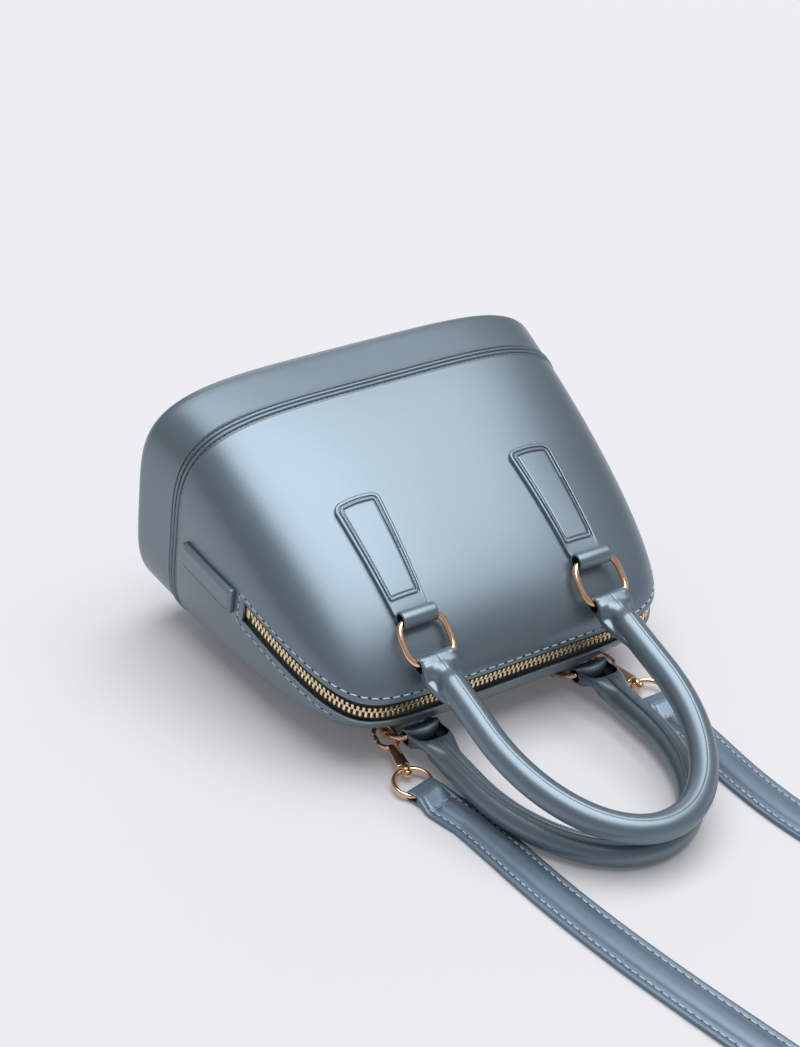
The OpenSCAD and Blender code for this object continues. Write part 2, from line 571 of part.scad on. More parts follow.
// A frame on the swivel of the right clasp: Y runs to the hook, X outward
module on_clasp(yaw) translate(swivel_at(yaw)) rotate([0, 0, yaw]) rotate([climb, 0, 0]) children();
module pin(x, y, t, r) translate([x, y, -t / 2]) cylinder(h = t, r = r, $fn = 64);
module rod(y0, y1, r) translate([0, y1, 0]) rotate([90, 0, 0]) cylinder(h = y1 - y0, r = r, $fn = 48);
collar_end = collar_l / 2 + collar_gap;
mouth_low = clasp_l + mouth_r;
mouth_high = mouth_low + mouth_l;
gate_x = mouth_r + hook_t / 2;
gate_y = mouth_low - hook_t / 2;
root_r = hook_t / 2 + 0.3;
module clasp_solid() difference() {
    union() {
        translate([0, 0, -clasp_t / 2]) linear_extrude(clasp_t) polygon([
            [-clasp_neck_w / 2, collar_end], [clasp_neck_w / 2, collar_end],
            [clasp_w / 2, clasp_l], [-clasp_w / 2, clasp_l]]);
        for (y = [mouth_low, mouth_high]) pin(0, y, clasp_t, mouth_r + hook_t);
        translate([-mouth_r - hook_t, mouth_low, -clasp_t / 2]) cube([2 * (mouth_r + hook_t), mouth_l, clasp_t]);
        pin(gate_x, gate_y, clasp_t, root_r + gate_gap);
        rod(-collar_end - head_t / 2, collar_end + hook_t, post_r);
        rod(-collar_end - head_t, -collar_end, head_r);
    }
    for (y = [mouth_low, mouth_high]) pin(0, y, 2 * clasp_t, mouth_r);
    translate([-mouth_r, mouth_low, -clasp_t]) cube([2 * mouth_r, mouth_l, 2 * clasp_t]);
    translate([0, gate_y + root_r + gate_gap, -clasp_t])
        cube([2 * mouth_r + hook_t, mouth_high - gate_y - root_r, 2 * clasp_t]);
    difference() {
        union() {
            pin(gate_x, gate_y, gate_t + 2 * gate_gap, root_r + 2 * gate_gap);
            translate([gate_x - root_r - 2 * gate_gap, gate_y, -gate_t / 2 - gate_gap])
                cube([2 * root_r + 4 * gate_gap, root_r + 2 * gate_gap, gate_t + 2 * gate_gap]);
        }
        pin(gate_x, gate_y, 2 * clasp_t, gate_pin_r);
    }
}
module gate_solid() difference() {
    union() {
        pin(gate_x, gate_y, gate_t, root_r);
        translate([mouth_r + gate_gap, gate_y, -gate_t / 2])
            cube([hook_t - gate_gap, mouth_high - gate_y, gate_t]);
        translate([gate_x, gate_y + root_r + 2 * stud_r, 0]) rotate([0, 90, 0])
            cylinder(h = stud_l, r = stud_r, $fn = 32);
    }
    pin(gate_x, gate_y, 2 * clasp_t, gate_pin_r + gate_pin_gap);
}
module swivel_solid() difference() {
    union() {
        translate([0, -swivel_ring_r, 0]) rotate_extrude($fn = 96) translate([swivel_ring_r, 0])
            circle(r = swivel_wire / 2, $fn = 32);
        rod(-collar_l / 2, collar_l / 2, collar_r);
    }
    rod(-collar_l, collar_l, post_r + post_gap);
}
function yaw_of(hand) = hand > 0 ? right_yaw : left_yaw;
module clasp(hand) color(gold_colour) on_side(hand) on_clasp(yaw_of(hand)) clasp_solid();
module clasp_gate(hand) color(gold_colour) on_side(hand) on_clasp(yaw_of(hand)) gate_solid();
module swivel_ring(hand) color(gold_colour) on_side(hand) on_clasp(yaw_of(hand)) swivel_solid();

// The loop at each end of the strap folds through the swivel ring, level with the ground
pocket_end = swivel_wire / 2 + 0.3;
function ring_centre(yaw) = swivel_at(yaw) - swivel_ring_r * clasp_dir(yaw);
function lead_of(hand) = hand > 0 ? 0 : left_lead;
fold_reach = swivel_ring_r + pocket_end;
module strap_end(hand) color(dark_colour) on_side(hand) let (c = ring_centre(yaw_of(hand)))
    translate([c[0], c[1], strap_lift]) rotate([0, 0, -lead_of(hand)])
    translate([-fold_w / 2, -fold_reach, 0]) difference() {
        translate([0, -fold_tail, 0]) cube([fold_w, fold_tail + fold_l + fold_t, 2 * fold_t + fold_h]);
        translate([-fold_w / 2, 0, fold_t]) cube([2 * fold_w, fold_l, fold_h]);
    }

// The strap lies in a long bow on the ground beside the bag
function start_of(hand) = let (c = ring_centre(yaw_of(hand)), l = fold_reach + fold_tail, a = lead_of(hand))
    [hand * (c[0] - l * sin(a)), c[1] - l * cos(a)];
left_start = start_of(-1);
right_start = start_of(1);
left_way = [sin(left_lead), -cos(left_lead)];
strap_route = [left_start, left_start + strap_lead_l * left_way, [-55.8, -102], [-53, -142], [-48, -182],
    [-41, -222], [-33, -262], [-25, -302], [-14, -342], [4, -378], [32, -402], [64, -404], [90, -385],
    [103, -352], [104, -315], [98, -277], [88, -237], [77, -197], [69, -158], [67, -122],
    [right_start[0], right_start[1] - strap_lead_l], right_start];
route_steps = 4;
route_last = len(strap_route) - 1;
function route_at(i) = strap_route[max(0, min(route_last, i))];
function curve(a, b, c, d, f) = (2 * b + (c - a) * f + (2 * a - 5 * b + 4 * c - d) * f * f
    + (3 * b - a - 3 * c + d) * f * f * f) / 2;
strap_points = concat([for (i = [0 : route_last - 1]) for (k = [0 : (i == 0 || i == route_last - 1) ? 0
    : route_steps - 1]) curve(route_at(i - 1), route_at(i), route_at(i + 1), route_at(i + 2), k / route_steps)],
    [route_at(route_last)]);
strap_last = len(strap_points) - 1;
function strap_dir(i) = i == 0 ? left_way : i == strap_last ? [0, 1]
    : let (d = strap_points[i + 1] - strap_points[i - 1]) d / norm(d);
strap_form = [[strap_w / 2, 0], [strap_w / 2, strap_edge_t], [strap_pad_w / 2 + 1.5, strap_edge_t],
    [strap_pad_w / 2, strap_t], [-strap_pad_w / 2, strap_t], [-strap_pad_w / 2 - 1.5, strap_edge_t],
    [-strap_w / 2, strap_edge_t], [-strap_w / 2, 0]];
module shoulder_strap() color(dark_colour) skin([for (i = [0 : strap_last])
    let (p = strap_points[i], d = strap_dir(i))
    [for (q = strap_form) [p[0] + q[0] * d[1], p[1] - q[0] * d[0], strap_lift + q[1]]]]);

shell();
base_board();
zip_tape(1);  // zip_tape_front
zip_tape(-1);  // zip_tape_back
zip_teeth(1);  // zip_teeth_front
zip_teeth(-1);  // zip_teeth_back
zip_stop(-1);  // zip_stop_left
zip_stop(1);  // zip_stop_right
zip_slider();
zip_pull();
zip_flap(-1);  // zip_flap_left
zip_flap(1);  // zip_flap_right
front_tab(-1);  // front_tab_left
front_tab(1);  // front_tab_right
back_tab(-1);  // back_tab_left
back_tab(1);  // back_tab_right
ring_at(1, -1);  // front_ring_left
ring_at(1, 1);  // front_ring_right
ring_at(-1, -1);  // back_ring_left
ring_at(-1, 1);  // back_ring_right
front_handle();
back_handle();
clasp(-1);  // clasp_left
clasp(1);  // clasp_right
clasp_gate(-1);  // clasp_gate_left
clasp_gate(1);  // clasp_gate_right
swivel_ring(-1);  // swivel_ring_left
swivel_ring(1);  // swivel_ring_right
strap_end(-1);  // strap_end_left
strap_end(1);  // strap_end_right
shoulder_strap();
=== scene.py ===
"""Looks of a moulded top handle bag that lies on its back, its shoulder strap in a bow on the floor.

Shapes are worked out in millimetres in the bag's own upright frame (x across, y to the front, z up
from its base) and put on the floor by BagForm.to_row, which gives metres. The strap and the clasps
are worked out straight on the floor.
"""

import logging
import math
from dataclasses import dataclass
from enum import Enum
from typing import Callable

import bmesh
import bpy
import numpy as np
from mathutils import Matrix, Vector


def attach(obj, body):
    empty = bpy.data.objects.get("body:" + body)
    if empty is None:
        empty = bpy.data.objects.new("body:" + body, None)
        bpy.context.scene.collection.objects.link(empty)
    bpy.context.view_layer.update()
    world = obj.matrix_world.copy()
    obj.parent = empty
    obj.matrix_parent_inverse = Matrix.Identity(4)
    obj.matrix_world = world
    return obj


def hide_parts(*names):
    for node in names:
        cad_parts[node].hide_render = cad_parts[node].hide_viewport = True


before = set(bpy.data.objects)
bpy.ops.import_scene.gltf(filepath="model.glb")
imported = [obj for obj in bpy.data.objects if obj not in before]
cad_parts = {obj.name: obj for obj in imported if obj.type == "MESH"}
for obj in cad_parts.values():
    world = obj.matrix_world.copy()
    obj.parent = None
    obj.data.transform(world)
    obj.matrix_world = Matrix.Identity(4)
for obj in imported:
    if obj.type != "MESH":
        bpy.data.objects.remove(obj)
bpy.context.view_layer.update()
MM = 0.001
log = logging.getLogger("bag")
Array = np.ndarray


class Way(Enum):
    """A way on the bag; its value is a sign and its word goes into names."""

    @property
    def word(self) -> str:
        """The way's name in small letters."""
        return self.name.lower()


class Side(Way):
    """The front and the back panel of the bag; the value is the sign of y."""

    FRONT = 1
    BACK = -1


class Hand(Way):
    """The two ends of the bag; the value is the sign of x."""

    LEFT = -1
    RIGHT = 1


def to_linear(shade: str) -> tuple[float, float, float, float]:
    """Turns an sRGB hex shade into linear red, green, blue and alpha.

    Args:
        shade: a hex shade such as "#7f94a8".

    Returns:
        The four linear values, alpha 1.
    """
    parts = [int(shade[i : i + 2], 16) / 255 for i in (1, 3, 5)]
    red, green, blue = [c / 12.92 if c <= 0.04045 else ((c + 0.055) / 1.055) ** 2.4 for c in parts]
    return red, green, blue, 1.0


class Recipe:
    """A material in the making: its node tree and the object's own coordinates in it."""

    def __init__(self, name: str) -> None:
        """Makes an empty node material."""
        self.material = bpy.data.materials.new(name)
        self.material.use_nodes = True
        self.tree = self.material.node_tree
        self.tree.nodes.clear()
        self.at = self.add("ShaderNodeTexCoord").outputs["Object"]

    def add(self, kind: str, settings: dict | None = None, **inputs) -> bpy.types.Node:
        """Adds a node with its settings, values and links.

        Args:
            kind: the node's type name.
            settings: attributes of the node by name.
            inputs: values or output sockets by input name, with _ for a space, or by n and a number.

        Returns:
            The new node.
        """
        node = self.tree.nodes.new(kind)
        for name, value in (settings or {}).items():
            setattr(node, name, value)
        for name, value in inputs.items():
            key = int(name[1:]) if name[0] == "n" and name[1:].isdigit() else name.replace("_", " ")
            if isinstance(value, bpy.types.NodeSocket):
                self.tree.links.new(value, node.inputs[key])
            else:
                node.inputs[key].default_value = value
        return node

    def finished(self, share: bpy.types.NodeSocket, shades: tuple[str, str], height: bpy.types.NodeSocket,
                 bump: tuple[float, float], **shader) -> bpy.types.Material:
        """Ends the material with two mixed shades, a bump and the shader that shows them.

        Args:
            share: the pattern that mixes the shades.
            shades: the hex shades where the pattern is 0 and where it is 1.
            height: the pattern of the surface.
            bump: the bump's strength, and its depth in millimetres.
            shader: values and links of the shader's own sockets.

        Returns:
            The material.
        """
        colour = self.add("ShaderNodeMix", {"data_type": "RGBA"}, n0=share, n6=to_linear(shades[0]),
                          n7=to_linear(shades[1]))
        relief = self.add("ShaderNodeBump", Height=height, Strength=bump[0], Distance=bump[1] * MM)
        surface = self.add("ShaderNodeBsdfPrincipled", Base_Color=colour.outputs[2], Normal=relief.outputs[0],
                           **shader)
        self.add("ShaderNodeOutputMaterial", Surface=surface.outputs[0])
        return self.material


def per_mm(size: float) -> float:
    """Turns the size of a pattern in millimetres into a texture's scale."""
    return 1 / (size * MM)


@dataclass(frozen=True)
class PearlMoulding:
    """Soft moulded plastic under a pearl lacquer: fine metal flakes give a broad satin glow."""

    name: str = "pearl_moulding"
    light: str = "#7a8a95"
    dark: str = "#626f79"
    metallic: float = 0.72
    roughness: float = 0.385
    flake_mm: float = 0.45
    peel_mm: float = 1.6
    grain_mm: float = 0.5
    bump_mm: float = 0.02

    def dress(self) -> bpy.types.Material:
        """Makes the material: flakes in the colour, a faint orange peel in the surface.

        The flakes are drawn coarser than the real ones, which are too fine to see from a step away.
        """
        make = Recipe(self.name)
        flakes = make.add("ShaderNodeTexNoise", Vector=make.at, Scale=per_mm(self.flake_mm), Detail=2.0,
                          Roughness=0.7)
        cloud = make.add("ShaderNodeTexNoise", Vector=make.at, Scale=14.0, Detail=3.0)
        blend = make.add("ShaderNodeMath", {"operation": "MULTIPLY_ADD"}, n0=cloud.outputs["Fac"], n1=0.55,
                         n2=-0.02)
        spread = make.add("ShaderNodeMath", {"operation": "MULTIPLY_ADD", "use_clamp": True},
                          n0=flakes.outputs["Fac"], n1=0.5, n2=blend.outputs[0])
        rough = make.add("ShaderNodeMapRange", Value=cloud.outputs["Fac"], To_Min=self.roughness - 0.03,
                         To_Max=self.roughness + 0.04)
        peel = make.add("ShaderNodeTexNoise", Vector=make.at, Scale=per_mm(self.peel_mm), Detail=3.0)
        grain = make.add("ShaderNodeTexNoise", Vector=make.at, Scale=per_mm(self.grain_mm), Detail=2.0)
        height = make.add("ShaderNodeMath", {"operation": "MULTIPLY_ADD"}, n0=grain.outputs["Fac"], n1=0.35,
                          n2=peel.outputs["Fac"])
        return make.finished(spread.outputs[0], (self.dark, self.light), height.outputs[0],
                             (0.5, self.bump_mm), Metallic=self.metallic, Roughness=rough.outputs[0],
                             Coat_Weight=0.2, Coat_Roughness=0.32)


@dataclass(frozen=True)
class PlatedMetal:
    """Die-cast zinc, polished and plated: a clean mirror with hair-fine scratches and handling haze."""

    name: str = "rose_gold_plate"
    shade: str = "#f3c7a6"
    worn: str = "#e9b792"
    roughness: float = 0.14
    scratch_mm: float = 0.3

    def dress(self) -> bpy.types.Material:
        """Makes the material: noise stretched along one way for scratches, haze in the roughness."""
        make = Recipe(self.name)
        long = make.add("ShaderNodeMapping", Vector=make.at, Scale=(1.0, 0.15, 1.0))
        lines = make.add("ShaderNodeTexNoise", Vector=long.outputs[0], Scale=per_mm(self.scratch_mm),
                         Detail=4.0)
        haze = make.add("ShaderNodeTexNoise", Vector=make.at, Scale=220.0, Detail=3.0)
        rough = make.add("ShaderNodeMapRange", Value=lines.outputs["Fac"], To_Min=self.roughness - 0.05,
                         To_Max=self.roughness + 0.1)
        return make.finished(haze.outputs["Fac"], (self.shade, self.worn), lines.outputs["Fac"],
                             (0.05, 0.004), Metallic=1.0, Roughness=rough.outputs[0])


@dataclass(frozen=True)
class WovenTape:
    """Polyester zip tape, woven in fine ribs: dark, matt, with a little sheen from its fibres."""

    name: str = "zip_tape"
    rib: str = "#2a2123"
    gap: str = "#0d0a0b"
    rib_mm: float = 0.7

    def dress(self) -> bpy.types.Material:
        """Makes the material: two crossing waves give the ribs and the picks across them."""
        make = Recipe(self.name)
        pitch = 2 * math.pi / (20 * self.rib_mm * MM)
        ribs, picks = (make.add("ShaderNodeTexWave", {"bands_direction": way}, Vector=make.at, Scale=pitch,
                                Distortion=0.4) for way in "YX")
        weave = make.add("ShaderNodeMath", {"operation": "MULTIPLY"}, n0=ribs.outputs["Fac"],
                         n1=picks.outputs["Fac"])
        return make.finished(weave.outputs[0], (self.gap, self.rib), weave.outputs[0], (0.7, 0.12),
                             Roughness=0.85, Sheen_Weight=0.25, Sheen_Roughness=0.5)


@dataclass(frozen=True)
class StrapLeather:
    """Pearl-coated split leather: the same lacquer as the shell over a fine natural grain."""

    name: str = "strap_leather"
    light: str = "#76889a"
    dark: str = "#637483"
    metallic: float = 0.6
    roughness: float = 0.4
    pebble_mm: float = 0.8

    def dress(self) -> bpy.types.Material:
        """Makes the material: cells for the grain, clouds for the uneven colour of the hide."""
        make = Recipe(self.name)
        cells = make.add("ShaderNodeTexVoronoi", {"feature": "SMOOTH_F1"}, Vector=make.at,
                         Scale=per_mm(self.pebble_mm))
        cloud = make.add("ShaderNodeTexNoise", Vector=make.at, Scale=30.0, Detail=4.0)
        rough = make.add("ShaderNodeMapRange", Value=cells.outputs["Distance"], To_Min=self.roughness - 0.04,
                         To_Max=self.roughness + 0.08)
        return make.finished(cloud.outputs["Fac"], (self.dark, self.light), cells.outputs["Distance"],
                             (0.25, 0.03), Metallic=self.metallic, Roughness=rough.outputs[0],
                             Coat_Weight=0.1, Coat_Roughness=0.35)


@dataclass(frozen=True)
class SewingThread:
    """Bonded polyester thread: pale, twisted from three plies, slightly glossy."""

    name: str = "sewing_thread"
    light: str = "#d3dce3"
    dark: str = "#8d9aa6"
    twist_mm: float = 0.5

    def dress(self) -> bpy.types.Material:
        """Makes the material: a fine wave stands for the twist of the plies."""
        make = Recipe(self.name)
        twist = make.add("ShaderNodeTexWave", {"bands_direction": "DIAGONAL"}, Vector=make.at,
                         Scale=2 * math.pi / (20 * self.twist_mm * MM), Distortion=1.0)
        return make.finished(twist.outputs["Fac"], (self.dark, self.light), twist.outputs["Fac"], (0.4, 0.05),
                             Roughness=0.5)


@dataclass(frozen=True)
class PlainMatt:
    """A dull even surface with a fine tooth, as board, needle holes and paper have; on needle holes its dark
    is painted shade, and its glow is painted light.
    """

    name: str = "fibre_board"
    light: str = "#34383c"
    dark: str = "#24272a"
    roughness: float = 0.85
    tooth_mm: float = 0.6
    bump_mm: float = 0.05
    # glow: painted light, a white emission that brightens the surface though it is no lamp
    glow: float = 0.0

    def dress(self) -> bpy.types.Material:
        """Makes the material: noise at the size of the tooth in the colour and the surface, and the glow as a
        white emission, which is painted light.
        """
        make = Recipe(self.name)
        tooth = make.add("ShaderNodeTexNoise", Vector=make.at, Scale=per_mm(self.tooth_mm), Detail=3.0)
        return make.finished(tooth.outputs["Fac"], (self.dark, self.light), tooth.outputs["Fac"],
                             (0.3, self.bump_mm), Roughness=self.roughness,
                             Emission_Color=to_linear("#ffffff"), Emission_Strength=self.glow)


@dataclass
class Finishes:
    """Every material of the bag, made once."""

    pearl: bpy.types.Material
    gold: bpy.types.Material
    teeth: bpy.types.Material
    tape: bpy.types.Material
    leather: bpy.types.Material
    thread: bpy.types.Material
    hole: bpy.types.Material
    board: bpy.types.Material
    lining: bpy.types.Material

    @classmethod
    def make(cls) -> "Finishes":
        """Makes all the materials."""
        return cls(
            pearl=PearlMoulding().dress(),
            gold=PlatedMetal().dress(),
            teeth=PlatedMetal("brass_teeth", "#f6e6c6", "#e4cb9c", roughness=0.24, scratch_mm=0.2).dress(),
            tape=WovenTape().dress(),
            leather=StrapLeather().dress(),
            thread=SewingThread().dress(),
            # needle holes: flat dark lenses, painted shade in place of the depth of the holes
            hole=PlainMatt("needle_hole_painted_shade", "#1c232a", "#10151a", roughness=0.9, tooth_mm=0.2,
                           bump_mm=0.01).dress(),
            board=PlainMatt().dress(),
            # the dark inside: the shell's lining, and painted shade on the walls of the loops' bores and the
            # hoods' pockets
            lining=PlainMatt("dark_inside", "#17181a", "#0c0d0e", roughness=0.95, tooth_mm=0.4,
                             bump_mm=0.08).dress(),
        )


@dataclass
class Surface:
    """Points with the faces between them, and the number of the finish that they take."""

    points: Array
    faces: list[Array]
    finish: int = 0

    def outward(self) -> "Surface":
        """Turns the faces of a closed surface so that they point out, by the sign of its volume."""
        volume = 0.0
        for face in self.faces:
            a, b, c = (self.points[face[:, k]] for k in (0, 1, 2))
            volume += np.einsum("ij,ij->i", a, np.cross(b, c)).sum()
            if face.shape[1] == 4:
                d = self.points[face[:, 3]]
                volume += np.einsum("ij,ij->i", a, np.cross(c, d)).sum()
        if volume < 0:
            self.faces = [face[:, ::-1] for face in self.faces]
        return self


def grid(points: Array, around: bool = False, finish: int = 0, flip: bool = False) -> Surface:
    """Joins a grid of points by quads.

    Args:
        points: an array of rows, columns and 3.
        around: whether each row is closed on itself.
        finish: the number of the finish.
        flip: whether the faces point the other way.

    Returns:
        The surface.
    """
    rows, columns = points.shape[:2]
    index = np.arange(rows * columns).reshape(rows, columns)
    if around:
        index = np.concatenate([index, index[:, :1]], axis=1)
    quads = np.stack([index[:-1, :-1], index[:-1, 1:], index[1:, 1:], index[1:, :-1]], axis=-1)
    quads = quads.reshape(-1, 4)
    return Surface(points.reshape(-1, 3), [quads[:, ::-1] if flip else quads], finish)


def closed_sweep(rings: Array, finish: int = 0) -> Surface:
    """Joins rings of points into a closed skin, each end a fan to the middle of its ring.

    Args:
        rings: an array of rings, points and 3.
        finish: the number of the finish.

    Returns:
        The closed surface, facing out.
    """
    count, around = rings.shape[:2]
    skin = grid(rings, around=True, finish=finish)
    points = np.concatenate([skin.points, rings[:1].mean(axis=1), rings[-1:].mean(axis=1)])
    k = np.arange(around)
    after = (k + 1) % around
    low = np.stack([np.full(around, count * around), after, k], axis=1)
    last = (count - 1) * around
    high = np.stack([np.full(around, count * around + 1), last + k, last + after], axis=1)
    return Surface(points, skin.faces + [low, high], finish).outward()


def closed_loop(rings: Array, finish: int = 0) -> Surface:
    """Joins rings of points into a closed skin whose last ring meets its first."""
    return grid(np.concatenate([rings, rings[:1]]), around=True, finish=finish).outward()


def repeated(template: Surface, origin: Array, x: Array, y: Array, z: Array) -> Surface:
    """Copies a small shape to many places, each with its own three directions.

    Args:
        template: the shape, near zero.
        origin: the places, an array of count and 3.
        x: the first direction at each place; y and z are the others.

    Returns:
        One surface with all the copies.
    """
    p = template.points
    points = (origin[:, None] + p[None, :, :1] * x[:, None] + p[None, :, 1:2] * y[:, None]
              + p[None, :, 2:3] * z[:, None])
    shift = (np.arange(len(origin)) * len(p))[:, None, None]
    faces = [(face[None] + shift).reshape(-1, face.shape[1]) for face in template.faces]
    return Surface(points.reshape(-1, 3), faces, template.finish)


def unit(v: Array) -> Array:
    """Gives vectors of length 1 along the last axis."""
    return v / np.maximum(np.linalg.norm(v, axis=-1, keepdims=True), 1e-12)


def lengths(path: Array) -> Array:
    """Gives the distance along a line to each of its points."""
    return np.concatenate([[0], np.cumsum(np.linalg.norm(np.diff(path, axis=0), axis=1))])


def full_turn(step: float) -> Array:
    """Gives the angles of a full turn, in radians, in steps of so many degrees."""
    return np.radians(np.arange(0, 360, step))


def smooth(share: Array) -> Array:
    """Eases a share: 0 below 0, 1 above 1, and a soft step between them."""
    f = np.clip(share, 0, 1)
    return f * f * (3 - 2 * f)


def bent(v: Array, power: float | Array) -> Array:
    """Raises values to a power and keeps their signs, as a superellipse does."""
    return np.sign(v) * np.abs(v) ** power


def along(path: Array, step: float | None = None, count: int | None = None, closed: bool = False,
          extra: Array | None = None) -> tuple[Array, Array]:
    """Spaces points evenly along a line by its length.

    Args:
        path: the line's points.
        step: the wanted distance between points, or count for their number.
        closed: whether the line returns to its first point.
        extra: vectors at the points, such as normals, that are spread with them.

    Returns:
        The new points and the extra vectors, or zeros, at them.
    """
    extra = np.zeros_like(path) if extra is None else extra
    if closed:
        path, extra = np.concatenate([path, path[:1]]), np.concatenate([extra, extra[:1]])
    reach = lengths(path)
    count = count or max(2, round(reach[-1] / step))
    at = np.linspace(0, reach[-1], count, endpoint=not closed)
    points, vectors = (np.stack([np.interp(at, reach, a[:, k]) for k in range(3)], axis=1)
                       for a in (path, extra))
    return points, vectors


def directions(points: Array, closed: bool = False) -> Array:
    """Gives the direction of a line at each of its points, from the points beside it."""
    if closed:
        return unit(np.roll(points, -1, axis=0) - np.roll(points, 1, axis=0))
    return unit(np.gradient(points, axis=0))


@dataclass(frozen=True)
class Stitching:
    """A row of lockstitches: a rounded thread between two needle holes, over and over.

    The share is the part of the pitch that a thread covers.
    """

    pitch: float = 5.0
    share: float = 0.72
    radius: float = 0.32
    hole_r: float = 0.36

    def sew(self, path: Array, normals: Array, closed: bool = False, thread: int = 0,
            hole: int = 1) -> list[Surface]:
        """Sews along a line on a surface.

        A thread is a flattened capsule whose height over the surface falls with the fourth power of
        the way from its middle, so that both ends dive into the holes, which are flat dark lenses of painted
        shade.

        Args:
            path: points of the line.
            normals: the surface's normals there.
            closed: whether the line closes.
            thread: the number of the thread's finish.
            hole: the number of the holes' finish.

        Returns:
            The threads and the holes.
        """
        points, up = along(path, step=self.pitch / 2, closed=closed, extra=normals)
        forward, up = directions(points, closed), unit(up)
        across = unit(np.cross(up, forward))
        up = np.cross(forward, across)
        half = self.pitch * self.share / 2
        u = np.linspace(-1, 1, 7)[:, None]
        a = (np.arange(6) * math.pi / 3)[None]
        r = self.radius * np.sqrt(np.maximum(0.02, 1 - u**4))
        rise = self.radius * (0.35 - 1.3 * u**4)
        capsule = np.stack([half * u + 0 * a, r * np.cos(a), 0.75 * r * np.sin(a) + rise], axis=-1)
        # the holes: dark lenses that paint the shade in the needle holes
        b = np.arange(8) * math.pi / 4
        rim = np.stack([1.25 * self.hole_r * np.cos(b), self.hole_r * np.sin(b), 0 * b], axis=-1)
        lens = np.stack([rim * 0.05 + [0, 0, 0.05], rim + [0, 0, 0.03], rim - [0, 0, 0.1],
                         rim * 0.05 - [0, 0, 0.12]])
        return [repeated(closed_sweep(capsule, thread), points[::2], forward[::2], across[::2], up[::2]),
                repeated(closed_sweep(lens, hole), points[1::2], forward[1::2], across[1::2], up[1::2])]


def show(name: str, data: bpy.types.ID) -> bpy.types.Object:
    """Puts a new object with its mesh, light or camera into the scene."""
    item = bpy.data.objects.new(name, data)
    bpy.context.scene.collection.objects.link(item)
    return item


def shade(mesh: bpy.types.Mesh, sharp_deg: float) -> None:
    """Shades a mesh smooth but for the edges bent by more than an angle."""
    mesh.polygons.foreach_set("use_smooth", np.ones(len(mesh.polygons), dtype=bool))
    mesh.set_sharp_from_angle(angle=math.radians(sharp_deg))


def build(name: str, surfaces: list[Surface], finishes: list[bpy.types.Material], body: str,
          place: Callable[[Array], Array], nodes: tuple[str, ...] = (), weld: bool = False,
          sharp_deg: float = 40.0) -> bpy.types.Object:
    """Makes one piece of the scene from surfaces and joins it to the frame.

    Args:
        name: the piece's name.
        surfaces: its surfaces, in millimetres.
        finishes: its materials, in the order of the surfaces' numbers.
        body: the body it moves with.
        place: puts points in millimetres into the row frame, in metres.
        nodes: the CAD nodes that it stands for.
        weld: whether points that coincide are merged.
        sharp_deg: edges bent by more than this are shaded sharp.

    Returns:
        The piece.
    """
    starts = np.cumsum([0] + [len(s.points) for s in surfaces])
    faces = [(face + start, s.finish) for s, start in zip(surfaces, starts) for face in s.faces]
    points = place(np.concatenate([s.points for s in surfaces]))
    sizes = np.concatenate([np.full(len(face), face.shape[1]) for face, _ in faces])
    corners = np.concatenate([face.ravel() for face, _ in faces])
    first = np.concatenate([[0], np.cumsum(sizes)[:-1]])
    numbers = np.concatenate([np.full(len(face), number) for face, number in faces])
    mesh = bpy.data.meshes.new(name)
    mesh.vertices.add(len(points))
    mesh.vertices.foreach_set("co", points.astype(np.float32).ravel())
    mesh.loops.add(int(sizes.sum()))
    mesh.loops.foreach_set("vertex_index", corners.astype(np.int32))
    mesh.polygons.add(len(sizes))
    mesh.polygons.foreach_set("loop_start", first.astype(np.int32))
    mesh.polygons.foreach_set("material_index", numbers.astype(np.int32))
    mesh.update(calc_edges=True)
    mesh.validate()
    if weld:
        shape = bmesh.new()
        shape.from_mesh(mesh)
        bmesh.ops.remove_doubles(shape, verts=shape.verts, dist=0.002 * MM)
        bmesh.ops.dissolve_degenerate(shape, edges=shape.edges, dist=0.001 * MM)
        shape.to_mesh(mesh)
        shape.free()
    for finish in finishes:
        mesh.materials.append(finish)
    return settle(show(name, mesh), body, nodes, sharp_deg)


def settle(piece: bpy.types.Object, body: str, nodes: tuple[str, ...],
           sharp_deg: float = 40.0) -> bpy.types.Object:
    """Shades a piece, joins it to its body, and hides the nodes that it stands for."""
    shade(piece.data, sharp_deg)
    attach(piece, body)
    if nodes:
        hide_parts(*nodes)
    log.info("%s: %d faces on %s", piece.name, len(piece.data.polygons), body)
    return piece


def carve(piece: bpy.types.Object, cutters: list[Surface], place: Callable[[Array], Array],
          sharp_deg: float = 40.0) -> None:
    """Cuts closed shapes out of a piece, so that its holes have true edges and take the cutters' finish.

    Args:
        piece: the piece, whose mesh is replaced.
        cutters: the closed shapes, in millimetres.
        place: puts their points into the row frame, in metres.
        sharp_deg: edges bent by more than this are shaded sharp.
    """
    tools = []
    for number, cutter in enumerate(cutters):
        mesh = bpy.data.meshes.new(f"cutter_{number}")
        faces = [row for face in cutter.faces for row in face.tolist()]
        mesh.from_pydata(place(cutter.points).tolist(), [], faces)
        for finish in piece.data.materials:
            mesh.materials.append(finish)
        mesh.polygons.foreach_set("material_index",
                                  np.full(len(mesh.polygons), cutter.finish, dtype=np.int32))
        tool = show(mesh.name, mesh)
        step = piece.modifiers.new(tool.name, "BOOLEAN")
        step.object, step.operation, step.solver = tool, "DIFFERENCE", "EXACT"
        tools.append(tool)
    bpy.context.view_layer.update()
    carved = bpy.data.meshes.new_from_object(piece.evaluated_get(bpy.context.evaluated_depsgraph_get()))
    piece.modifiers.clear()
    piece.data = carved
    for tool in tools:
        bpy.data.objects.remove(tool)
    shade(carved, sharp_deg)


